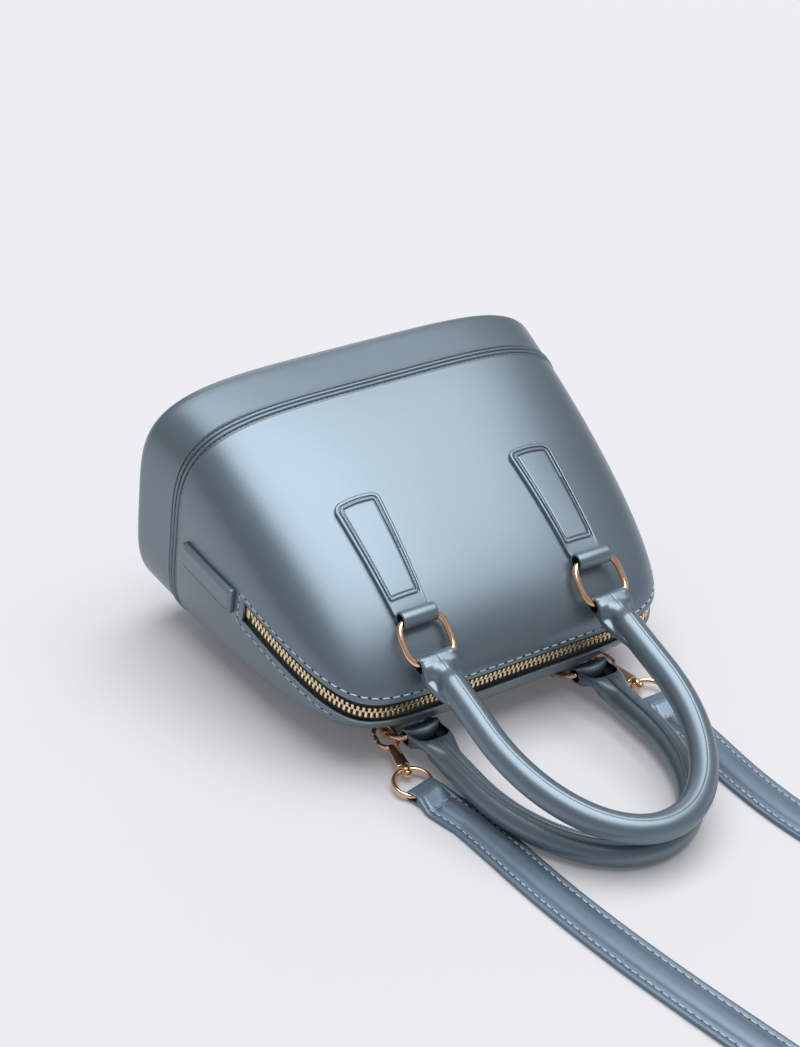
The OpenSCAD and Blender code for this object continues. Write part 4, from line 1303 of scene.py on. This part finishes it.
@dataclass
class HandleSet:
    """One handle with the two rings that carry it.

    The funnel is the tube's half width at the barrel and at its narrowest, the parting line its
    depth and width, and a ridge its distance from the middle and its size. The pocket is half its
    outline, and its levels are heights with the outline's scale there.
    """

    form: BagForm
    finishes: Finishes
    side: Side
    ring_angle: float
    handle_angle: float
    tab_x: float = 48.2
    ring_w: float = 24.0
    ring_l: float = 22.3
    ring_square: float = 3.1
    wire: float = 3.1
    handle_d: float = 13.2
    leg_l: float = 44.0
    arch_l: float = 73.0
    hood_w: float = 19.0
    hood_r: float = 4.7
    neck_l: float = 26.0
    fin_low: float = 2.5
    fin_t: float = 1.5
    funnel: tuple[float, float] = (9.6, 5.4)
    parting: tuple[float, float] = (0.18, 0.22)
    ridge: tuple[float, float] = (1.45, 0.28)
    welt_w: float = 4.4
    welt_h: float = 1.2
    bore_r: float = 3.3
    pocket: tuple[tuple[float, float], ...] = (
        (8.4, 0.4), (8.5, 3.0), (8.3, 8.0), (7.8, 10.2), (6.8, 12.0), (5.2, 13.2), (3.0, 13.9), (1.0, 14.1))
    pocket_y: float = 6.5
    pocket_levels: tuple[tuple[float, float], ...] = ((-2.6, 0.4), (1.0, 0.5), (1.7, 0.95), (3.0, 1.0))

    def ring(self) -> Surface:
        """A ring of round wire, bent to a superellipse between a rectangle and an oval."""
        t = full_turn(2.5)
        x, y = (bent(v, 2 / self.ring_square) for v in (np.cos(t), np.sin(t)))
        path = np.stack([self.ring_w / 2 * x, self.ring_l / 2 * (1 + y), 0 * x], axis=1)
        path, _ = along(path, count=144, closed=True)
        forward = directions(path, closed=True)
        out = np.cross(forward, [0, 0, 1.0])
        a = full_turn(15)[None, :, None]
        rings = path[:, None] + self.wire / 2 * (np.cos(a) * out[:, None] + np.sin(a) * np.array([0, 0, 1.0]))
        return closed_loop(rings)

    def stations(self) -> tuple[Array, Array, Array, Array]:
        """The handle's middle line from the left hood to the right.

        Returns:
            Its points, its outward directions, the distance of each station from the axis of its
            hood's barrel, and the share by which each end is rounded off.
        """
        cap = np.radians(np.linspace(90, 4, 9))
        hood = np.linspace(0, self.neck_l, 79)
        leg = np.linspace(self.neck_l, self.leg_l, 12)[1:-1]
        u = np.radians(np.linspace(180, 90, 60))
        x = np.concatenate([np.full(len(cap) + len(hood) + len(leg), -self.tab_x), self.tab_x * np.cos(u)])
        y = np.concatenate([-self.hood_r * np.sin(cap), hood, leg, self.leg_l + self.arch_l * np.sin(u)])
        n = unit(np.stack([self.arch_l * np.cos(u), self.tab_x * np.sin(u)], axis=1))
        nx = np.concatenate([np.full(len(x) - len(u), -1.0), n[:, 0]])
        ny = np.concatenate([np.zeros(len(x) - len(u)), n[:, 1]])
        blunt = np.concatenate([np.cos(cap), np.ones(len(x) - len(cap))])
        points, out = np.stack([x, y], axis=1), np.stack([nx, ny], axis=1)
        turn = np.array([-1, 1])
        return (np.concatenate([points, points[-2::-1] * turn]), np.concatenate([out, out[-2::-1] * turn]),
                np.concatenate([y, y[-2::-1]]), np.concatenate([blunt, blunt[-2::-1]]))

    def tube(self) -> Surface:
        """The handle: a round tube that rises out of the barrel of its hood, between two fins.

        Each station has half its width, the height of its edges, the height of the fins' outer face
        and the half axes of the tube, which all ease from the barrel's values to the tube's with the
        distance from the barrel. The outer side is the smooth greater of the fins, a superellipse
        over the edges, and the tube, a low arch that narrows like a funnel and turns into a half
        circle. The inner side is a superellipse that turns into the same circle and bears a welt
        with two fine ridges. A thin parting line runs down the outer side.

        Returns:
            The tube with both hoods.
        """

        def ease(low: float, high: float) -> Array:
            """A smooth step from 0 to 1 between two distances from the barrel."""
            return smooth((h - low) / (high - low))[:, None]

        points, out, h, blunt = self.stations()
        r = self.handle_d / 2
        b = blunt[:, None]
        half = self.hood_w / 2 + (r - self.hood_w / 2) * ease(5.5, self.neck_l)
        edge = -self.fin_low * (ease(3.6, 9.6) - ease(14.0, self.neck_l))
        fin = self.hood_r + (edge + self.fin_t - self.hood_r) * ease(3.2, 8.6)
        fin = fin + (edge - fin) * ease(14.0, self.neck_l)
        wide, narrow = self.funnel
        tube = wide - (wide - narrow) * ease(2.4, 10.0) + (r - narrow) * ease(10.0, 17.0)
        tall = self.hood_r + 0.3 * ease(3.0, 8.0) + (r - self.hood_r - 0.3) * ease(8.0, 15.0)
        under = self.hood_r + (r - self.hood_r) * ease(2.0, 16.0)
        done = ease(12.0, self.neck_l)
        t = np.radians(np.concatenate([np.linspace(0, 180, 91)[:-1], np.linspace(180, 266, 28),
                                       [268.4, 269.3, 270, 270.7, 271.6], np.linspace(274, 360, 28)[:-1]]))
        e = half * bent(np.cos(t), 1 - 0.12 * (1 - done))
        q = np.abs(e) / half
        square = 5 - 3 * ease(4.0, self.neck_l)
        rim = np.maximum(0, 1 - q**square) ** (1 / square)
        plate = edge + (fin - edge) * rim
        bow = 0.8 - 0.3 * ease(4.0, 11.0)
        arch = tall * np.maximum(0, 1 - (e / tube) ** 2) ** bow
        arch = arch - 3 * (1 - done) * np.maximum(0, np.abs(e) - tube)
        soft = 1.8 * ease(2.4, 7.0) * (1 - q**8) * (1 - done) + 1e-4
        outer = (plate + arch + np.sqrt((plate - arch) ** 2 + soft**2)) / 2
        deep, fine = self.parting
        outer = outer * b - deep * np.exp(-((e / fine) ** 2)) * b
        inner = (edge - (under + edge) * rim) * b
        welt = smooth((self.welt_w / 2 + 0.35 - np.abs(e)) / 0.5) * self.welt_h * ease(12.0, 20.0)
        off, size = self.ridge
        lines = size * np.exp(-(((np.abs(e) - off) / size) ** 2)) * ease(12.0, 20.0)
        v = np.where(np.sin(t) > 1e-9, -inner + welt - lines, -outer)
        rings = [points[:, :1] + out[:, :1] * e, points[:, 1:] + out[:, 1:] * e, self.side.value * v]
        return closed_sweep(np.stack(rings, axis=-1))

    def hollow(self, hand: Hand) -> Surface:
        """The D-shaped pocket that the mould leaves in a hood's inner side, its walls dark with painted
        shade.
        """
        half = np.array(self.pocket)
        line = np.concatenate([half, half[::-1] * [-1, 1]])
        middle = np.array([0.0, self.pocket_y])
        rings = []
        for z, keep in (*self.pocket_levels, (self.handle_d, 1.02)):
            x, y = (middle + (line - middle) * keep).T
            rings.append(np.stack([x + hand.value * self.tab_x, y, self.side.value * z + 0 * x], axis=1))
        return closed_sweep(np.stack(rings), 1)

    def barrel(self, hand: Hand, radius: float, half: float, finish: int = 0, tongue: float = 0.0) -> Surface:
        """A cylinder on the axis of a hood's loop; a tongue draws its lower side in towards the ends.

        Args:
            hand: the end of the handle.
            radius: its radius.
            half: half its length.
            finish: the number of its finish.
            tongue: the share of the radius that the lower side loses at the ends, growing with the
                square of the distance across.

        Returns:
            The cylinder.
        """
        a, soft = full_turn(7.5), 0.4
        level = np.linspace(-half + soft, half - soft, 13)
        x = np.concatenate([[-half, -half + 0.12], level, [half - 0.12, half]])
        r = radius - soft * np.clip((np.abs(x) - half + soft) / soft, 0, 1) ** 2
        y = r[:, None] * np.cos(a) * np.where(np.cos(a) > 0, 1 - tongue * (x[:, None] / half) ** 2, 1)
        across = hand.value * self.tab_x + x[:, None] + 0 * y
        return closed_sweep(np.stack([across, y, r[:, None] * np.sin(a)], axis=-1), finish)

    def build(self, tab: Tab) -> None:
        """Builds the rings and the handle, where the tab's loops carry them.

        Args:
            tab: a tab of the same side, which says where the loops are.
        """
        form, name = self.form, self.side.word
        swing = Swing(self.side, tab.loop_y(), tab.loop_z, self.ring_angle)
        for hand in Hand:
            node = f"{name}_ring_{hand.word}"
            ring = self.ring()
            ring.points = ring.points + [hand.value * self.tab_x, 0, 0]
            build(f"{node}_wire", [ring], [self.finishes.gold], f"{name}_rings",
                  swing.place(form), (node,))
        a = math.radians(self.ring_angle)
        held = Swing(self.side, swing.y + self.side.value * self.ring_l * math.sin(a),
                     swing.z + self.ring_l * math.cos(a), self.handle_angle)
        body = f"{name}_handle"
        finishes = [self.finishes.pearl, self.finishes.lining]
        tube = build(f"{body}_tube", [self.tube()], finishes, body, held.place(form),
                     (body,))
        # the bores' walls take the dark inside finish: painted shade
        bores = [self.barrel(hand, self.bore_r + 0.3, self.hood_w, 1) for hand in Hand]
        carve(tube, [self.hollow(hand) for hand in Hand] + bores, held.place(form))
        for hand in Hand:
            around = self.barrel(hand, self.hood_r - 0.05, self.hood_w / 2 - 0.35, tongue=0.6)
            sleeve = build(f"{body}_sleeve_{hand.word}", [around], finishes, body,
                           held.place(form))
            # the sleeve's bore takes the dark inside finish too: painted shade
            carve(sleeve, [self.barrel(hand, self.bore_r - 0.1, self.hood_w, 1)], held.place(form))


@dataclass
class Clasp:
    """A swivel clasp: a cast bar with a hook, a post with a round head, and the ring that turns on it.

    Lengths run along the bar from the middle of the swivel's collar to the hook. The gate's pin lies
    that far past the bar, and its stud is turned from lengths and radii.
    """

    finishes: Finishes
    hand: Hand
    at: tuple[float, float, float]
    yaw: float
    climb: float = 7.43557
    neck_w: float = 6.4
    bar_w: float = 4.6
    thick: float = 2.4
    length: float = 16.4
    mouth_r: float = 3.7
    mouth_l: float = 5.8
    hook_t: float = 2.2
    collar_end: float = 2.05
    collar_l: float = 3.6
    collar_r: float = 2.3
    post_r: float = 1.25
    head_r: float = 2.1
    ring_r: float = 8.8
    wire: float = 2.4
    pin: float = 2.2
    stud: tuple[tuple[float, float], ...] = ((0.0, 0.9), (1.7, 0.9), (1.95, 0.82), (2.1, 0.6), (2.13, 0.2))

    def place(self, p: Array) -> Array:
        """Tips the clasp up by its climb, turns it by its yaw and puts it on the floor."""
        c, w = math.radians(self.climb), math.radians(self.yaw * self.hand.value)
        y = p[..., 1] * math.cos(c) - p[..., 2] * math.sin(c)
        z = p[..., 1] * math.sin(c) + p[..., 2] * math.cos(c)
        x = p[..., 0] * math.cos(w) - y * math.sin(w)
        y = p[..., 0] * math.sin(w) + y * math.cos(w)
        return np.stack([x + self.at[0] * self.hand.value, y + self.at[1], z + self.at[2]], axis=-1) * MM

    def swept(self, path: Array, half: Array, tall: Array, power: float, soft: float = 0.6) -> Surface:
        """Sweeps a superellipse along a level line, its two ends rounded off.

        Args:
            path: the line's points, two values each.
            half: half the section's width at each point; tall is half its height.
            power: the superellipse's power; 2 is an ellipse.
            soft: the length over which the ends are rounded.

        Returns:
            The bar.
        """
        reach = lengths(path)
        near = np.minimum(reach, reach[-1] - reach)
        keep = np.sqrt(1 - 0.6 * np.clip(1 - near / soft, 0, 1) ** 2)
        along_path = unit(np.gradient(path, axis=0))
        a = full_turn(12)
        e, v = (bent(k, 2 / power) for k in (np.cos(a), np.sin(a)))
        e, v = (half * keep)[:, None] * e, (tall * keep)[:, None] * v
        rings = [path[:, :1] + e * along_path[:, 1:], path[:, 1:] - e * along_path[:, :1], v]
        return closed_sweep(np.stack(rings, axis=-1) * [self.hand.value, 1, 1])

    def turned(self, stations: list[tuple[float, float]]) -> Surface:
        """Turns a profile of lengths and radii about the swivel's axis."""
        a = full_turn(12)
        y, r = np.array(stations).T
        return closed_sweep(np.stack([r[:, None] * np.cos(a), np.broadcast_to(y[:, None], (len(y), len(a))),
                                      r[:, None] * np.sin(a)], axis=-1))

    def body(self) -> list[Surface]:
        """The bar, the hook round the mouth, the root of the gate, the post and its head."""
        start = self.collar_end
        rest = np.linspace(0.8, self.length + 0.4 - start, 24)
        y = start + np.concatenate([[0, 0.06, 0.15, 0.3, 0.5], rest])
        share = (y - start) / (self.length - start)
        half = (self.neck_w + (self.bar_w - self.neck_w) * share) / 2
        bar = self.swept(np.stack([0 * y, y], axis=1), half, np.full(len(y), self.thick / 2), 5.0)
        low, high = self.length + self.mouth_r, self.length + self.mouth_r + self.mouth_l
        r = self.mouth_r + self.hook_t / 2
        t = np.radians(np.linspace(290, 180, 24))
        u = np.radians(np.linspace(180, -4, 40))
        rise = np.linspace(low, high, 10)[1:-1]
        hook = np.concatenate([np.stack([r * np.cos(t), low + r * np.sin(t)], axis=1),
                               np.stack([np.full(8, -r), rise], axis=1),
                               np.stack([r * np.cos(u), high + r * np.sin(u)], axis=1)])
        v = np.radians(np.linspace(262, 342, 18))
        root = np.stack([r * np.cos(v), low + r * np.sin(v)], axis=1)
        loops = [self.swept(line, np.full(len(line), self.hook_t / 2),
                            np.full(len(line), self.thick / 2), 2.8) for line in (hook, root)]
        head = [(-start - 0.9 + 1.1 * math.sin(k) * (1.35 if k < 0 else 0.75), self.head_r * math.cos(k))
                for k in np.radians(np.linspace(-86, 78, 15))]
        post = [(-start - 0.4, self.post_r), (start + 1.6, self.post_r)]
        return [bar, *loops, self.turned(head), self.turned(post)]

    def gate(self) -> list[Surface]:
        """The thumb gate: a flat bar on its pin, with a round stud that points outward."""
        x, low = self.mouth_r + self.hook_t / 2 + 0.05, self.length + self.pin
        size = self.mouth_r + self.mouth_l - self.pin
        soft = np.array([0, 0.08, 0.2, 0.4])
        y = low + np.concatenate([soft, np.linspace(0.6, size - 0.6, 8), size - soft[::-1]])
        bar = self.swept(np.stack([x + 0 * y, y], axis=1), np.full(len(y), 0.95), np.full(len(y), 0.55), 4.0)
        a = full_turn(15)
        out = np.array(self.stud)
        stud = np.stack([np.broadcast_to(self.hand.value * (x + out[:, :1]), (len(out), len(a))),
                         low + 3.6 + out[:, 1:] * np.cos(a), out[:, 1:] * np.sin(a)], axis=-1)
        return [bar, closed_sweep(stud)]

    def ring(self) -> list[Surface]:
        """The round ring of wire with its collar, a barrel with rolled ends."""
        t, a = full_turn(3), full_turn(15)
        reach = self.ring_r + self.wire / 2 * np.cos(a)
        rings = np.stack([reach * np.cos(t)[:, None], reach * np.sin(t)[:, None] - self.ring_r,
                          np.broadcast_to(self.wire / 2 * np.sin(a), (len(t), len(a)))], axis=-1)
        barrel = [(self.collar_l / 2 * math.copysign(abs(math.sin(q)) ** 0.8, q),
                   self.collar_r * (0.62 + 0.38 * math.cos(q) ** 0.6))
                  for q in np.radians(np.linspace(-90, 90, 13))]
        return [closed_loop(rings), self.turned(barrel)]

    def build(self) -> None:
        """Builds the clasp, its thumb gate and its ring."""
        for part, ending, shapes in (("clasp", "body", self.body()), ("clasp_gate", "bar", self.gate()),
                                     ("swivel_ring", "wire", self.ring())):
            node = f"{part}_{self.hand.word}"
            build(f"{node}_{ending}", shapes, [self.finishes.gold], node, self.place, (node,))


@dataclass
class Strap:
    """The shoulder strap: a flat padded strap on the floor with a sewn loop at each end.

    The starts are where its two tails begin, which run back to the folds on the swivels' rings. The
    leads are the angles in degrees at which it leaves them, and the middle is its bow on the floor.
    """

    finishes: Finishes
    width: float = 20.0
    lift: float = 0.1
    band_t: float = 2.5
    full_t: float = 4.6
    sewn_in: float = 2.9
    groove_z: float = 2.14
    steps: int = 8
    fold_w: float = 15.4
    fold_t: float = 1.0
    fold_h: float = 3.8
    fold_l: float = 6.6
    tail: float = 13.0
    pad_from: float = 9.5
    pad_over: float = 2.0
    narrow_over: float = 10.0
    sewn_from: float = 8.0
    edge_stitch: Stitching = Stitching(4.2, 0.74, 0.27, 0.28)
    end_stitch: Stitching = Stitching(4.2, 0.74, 0.25, 0.24)
    starts: tuple[tuple[float, float], tuple[float, float]] = ((-60.4517, -68.8147), (69.3284, -68.8771))
    leads: tuple[float, float] = (14.0, 0.0)
    lead_l: float = 12.0
    middle: tuple[tuple[float, float], ...] = (
        (-55.8, -102), (-53, -142), (-48, -182), (-41, -222), (-33, -262), (-25, -302), (-14, -342),
        (4, -378), (32, -402), (64, -404), (90, -385), (103, -352), (104, -315), (98, -277), (88, -237),
        (77, -197), (69, -158), (67, -122))

    def ways(self) -> Array:
        """The directions in which the strap leaves its left and its right ring, by its leads."""
        a = np.radians(self.leads)
        return np.stack([np.sin(a), -np.cos(a), 0 * a], axis=1)

    def route(self) -> Array:
        """The strap's middle line on the floor: a smooth curve through the route's points.

        Between two points it is the cubic whose slope at each is half the step between the points
        on both sides of it.

        Returns:
            The line's points, in millimetres.
        """
        left, right = np.array(self.starts)
        to_left, to_right = self.ways()[:, :2]
        points = np.array([left, left + self.lead_l * to_left, *self.middle,
                           right + self.lead_l * to_right, right])
        padded = np.concatenate([points[:1], points, points[-1:]])
        f = (np.arange(self.steps) / self.steps)[:, None]
        parts = [points[:1] + (points[1:2] - points[:1]) * f]
        for i in range(1, len(points) - 2):
            a, b, c, d = padded[i : i + 4]
            parts.append((2 * b + (c - a) * f + (2 * a - 5 * b + 4 * c - d) * f**2
                          + (3 * b - a - 3 * c + d) * f**3) / 2)
        parts += [points[-2:-1] + (points[-1:] - points[-2:-1]) * f, points[-1:]]
        line = np.concatenate(parts)
        return np.concatenate([line, np.full((len(line), 1), self.lift)], axis=1)

    def profile(self, pad: Array) -> Array:
        """The strap's section: two layers with a groove between them, a sewn channel, a padded middle.

        Args:
            pad: the share of the padding's full height at each station.

        Returns:
            An array of stations, points round the section and 2.
        """
        side = [(1.0, 0.0), (0.35, 0.12), (0.05, 0.45), (0.05, 0.95), (0.28, 1.1), (0.28, 1.25), (0, 1.4),
                (0, 1.95), (0.25, 2.3), (0.8, 2.42), (2.2, 2.42), (2.6, self.groove_z), (3.2, self.groove_z),
                (3.55, 2.42), (3.95, self.band_t)]
        left = np.array(side) - [self.width / 2, 0]
        u = np.linspace(-1, 1, 15)
        bow = (self.full_t - self.band_t) * (1 - np.abs(u) ** 2.6) ** 0.8
        crown = np.stack([u * 5.9, self.band_t + bow], axis=1)[1:-1]
        line = np.concatenate([left, crown, left[::-1] * [-1, 1]])
        rows = np.repeat(line[None], len(pad), axis=0)
        over = np.maximum(0, rows[..., 1] - self.band_t)
        rows[..., 1] += over * (pad[:, None] - 1)
        return rows

    def build(self) -> None:
        line = self.route()
        to_left, to_right = self.ways()
        over = (self.tail - np.linspace(0, self.tail, 9)[:-1])[:, None]
        line = np.concatenate([line[0] - over * to_left, line, (line[-1] - over * to_right)[::-1]])
        forward = directions(line)
        forward[0], forward[-1] = to_left, -to_right
        across = np.stack([forward[:, 1], -forward[:, 0], 0 * forward[:, 0]], axis=1)
        reach = lengths(line)
        total = float(reach[-1])
        away = np.minimum(reach, total - reach)
        section = self.profile(smooth((away - self.pad_from) / self.pad_over))
        near = smooth(1 - away / self.narrow_over)
        section[..., 0] *= (1 + (self.fold_w / self.width - 1) * near)[:, None]
        section[..., 1] += np.where(section[..., 1] > 1.9, (self.band_t - section[..., 1]) * near[:, None], 0)
        raised = 1 + (self.fold_t * 2 + self.fold_h - self.band_t) / self.band_t * near
        section[..., 1] *= raised[:, None]
        up = np.array([0, 0, 1.0])
        rings = line[:, None] + section[..., :1] * across[:, None] + section[..., 1:] * up
        strap = build("shoulder_strap_leather", [closed_sweep(rings)], [self.finishes.leather], "bag",
                      on_floor, ("shoulder_strap",))
        rows = []
        normals = np.tile(up, (len(line), 1))
        sewn = away > self.sewn_from
        off = self.width / 2 - self.sewn_in
        for sign in (-1, 1):
            edge = line + across * sign * off + up * (self.groove_z * raised)[:, None]
            rows += self.edge_stitch.sew(edge[sewn], normals[sewn])
        for row in (np.argmax(sewn), len(sewn) - 1 - np.argmax(sewn[::-1])):
            cross = line[row] + np.linspace(-1, 1, 9)[:, None] * across[row] * off
            cross = cross + up * (0.04 + 2.45 * raised[row])
            rows += self.end_stitch.sew(cross, normals[:9])
        thread = build("shoulder_strap_stitching", rows, [self.finishes.thread, self.finishes.hole], "bag",
                       on_floor)
        ends = [self.end(hand) for hand in Hand]
        log.info("strap: %.0f mm", total)

    def end(self, hand: Hand) -> bpy.types.Object:
        """One end of the strap, folded round the swivel ring.

        The fold's outline is a half circle between two level runs, and its hole has the same form.

        Args:
            hand: the end of the bag that it is on.

        Returns:
            The folded loop.
        """
        number = 0 if hand is Hand.LEFT else 1
        ahead = -self.ways()[number]
        across = np.array([ahead[1], -ahead[0], 0.0])
        origin = np.array([*self.starts[number], self.lift]) + self.tail * ahead
        top = 2 * self.fold_t + self.fold_h
        a = np.radians(np.linspace(-90, 90, 21))

        def outline(low: float, high: float, end: float, back: float) -> Array:
            """A slot shape: level runs from back, joined by a half circle that ends at end."""
            n = (high - low) / 2
            return np.concatenate([np.stack([np.linspace(back, end - n, 8)[:-1], np.full(7, low)], axis=1),
                                   np.stack([end - n + n * np.cos(a), low + n + n * np.sin(a)], axis=1),
                                   np.stack([np.linspace(end - n, back, 8)[1:], np.full(7, high)], axis=1)])

        outer = outline(0.04, top - 0.1, self.fold_l + self.fold_t, -1.2)
        inner = outline(self.fold_t, self.fold_t + self.fold_h, self.fold_l, 0.2)
        half = self.fold_w / 2
        edge = [(-1, 0.42), (-0.97, 0.2), (-0.92, 0.06), (-0.85, 0)]
        edges = edge + [(-share, draw) for share, draw in edge[::-1]]
        columns = []
        for ring, order in ((outer, 1), (inner, -1)):
            for share, draw in edges[::order]:
                at = ring + unit(np.array([[0.0, top / 2]]) - ring) * draw * order
                columns.append(origin + share * half * across + at[:, :1] * ahead + at[:, 1:] * [0, 0, 1])
        name = f"strap_end_{hand.word}"
        return build(f"{name}_fold", [closed_loop(np.stack(columns))], [self.finishes.leather], "bag",
                     on_floor, (name,))


@dataclass
class Studio:
    """A pale floor, soft lights and the camera at the photograph's angle."""

    eye: tuple[float, float, float] = (-0.43972, -0.65083, 0.55894)
    target: tuple[float, float, float] = (-0.01247, 0.05347, 0.074195)
    lens: float = 67.6
    floor_r: float = 6.0
    world_glow: float = 0.38

    def camera(self) -> None:
        """Makes the camera."""
        data = bpy.data.cameras.new("photo_camera")
        data.lens, data.sensor_width, data.sensor_fit = self.lens, 36.0, "AUTO"
        data.clip_start, data.clip_end = 0.01, 50
        camera = show("photo_camera", data)
        self.point(camera, self.eye, self.target)
        bpy.context.scene.camera = camera

    def point(self, item: bpy.types.Object, at: tuple[float, float, float],
              aim: tuple[float, float, float]) -> None:
        """Puts a camera or a light at a place and turns it to a point."""
        item.location = at
        item.rotation_euler = (Vector(aim) - Vector(at)).to_track_quat("-Z", "Y").to_euler()

    def softbox(self, name: str, at: tuple[float, float, float], aim: tuple[float, float, float],
                size: tuple[float, float], power: float) -> None:
        """Hangs a flat soft light at a place and turns it to a point.

        Args:
            name: its name.
            at: its place; aim is the point that it lights.
            size: its two sides.
            power: its power in watts.
        """
        data = bpy.data.lights.new(name, "AREA")
        data.shape, data.size, data.size_y, data.energy = "RECTANGLE", size[0], size[1], power
        self.point(show(name, data), at, aim)

    def build(self) -> None:
        """Makes the floor, which glows with painted light that lightens its shadows, the lights, the
        surrounding glow and the way light is shown.
        """
        # the floor's glow is painted light: it lightens the shadows on the floor
        finish = PlainMatt("studio_paper", "#bebec1", "#bcbcbf", roughness=0.9, tooth_mm=1.0, bump_mm=0.01,
                           glow=0.09).dress()
        mesh = bpy.data.meshes.new("floor")
        r = self.floor_r
        mesh.from_pydata([(-r, -r, 0), (r, -r, 0), (r, r, 0), (-r, r, 0)], [], [(0, 1, 2, 3)])
        mesh.materials.append(finish)
        show("floor", mesh)
        world = bpy.data.worlds.new("studio_glow")
        world.use_nodes = True
        glow = world.node_tree.nodes["Background"]
        glow.inputs["Color"].default_value = to_linear("#f0f1f6")
        glow.inputs["Strength"].default_value = self.world_glow
        bpy.context.scene.world = world
        self.softbox("overhead", at=(1.5, -1.0, 12.0), aim=(1.5, -1.0, 0.0), size=(13.4, 12.6), power=2250)
        self.softbox("back_light", at=(1.9, 5.1, 2.5), aim=(0.0, 0.0, 0.05), size=(2.1, 2.1), power=24)
        bpy.context.scene.view_settings.view_transform = "Standard"


def dress_board(finish: bpy.types.Material) -> None:
    """Gives the solid of the base board, which stays in its place, a finish."""
    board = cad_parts["base_board"]
    board.data.materials.clear()
    board.data.materials.append(finish)


def main() -> None:
    """Builds the studio and the bag, piece by piece."""
    logging.basicConfig(level=logging.INFO, format="%(message)s")
    studio = Studio()
    studio.camera()
    finishes = Finishes.make()
    form = BagForm()
    Clasp(finishes, Hand.LEFT, at=(64.8741, -37.5658, 5.27764), yaw=8.0).build()
    Clasp(finishes, Hand.RIGHT, at=(67.2174, -37.1103, 5.27764), yaw=14.0).build()
    Strap(finishes).build()
    Shell(form, finishes).build()
    Zip(form, finishes).build()
    for hand in Hand:
        ZipFlap(form, finishes, hand).build()
    for side, ring_angle, handle_angle in ((Side.FRONT, -31.4, -4.61738), (Side.BACK, -34.5, -10.5069)):
        tabs = [Tab(form, finishes, side, hand) for hand in Hand]
        for tab in tabs:
            tab.build()
        HandleSet(form, finishes, side, ring_angle, handle_angle).build(tabs[0])
    dress_board(finishes.board)
    studio.build()


if __name__ == "__main__":
    main()
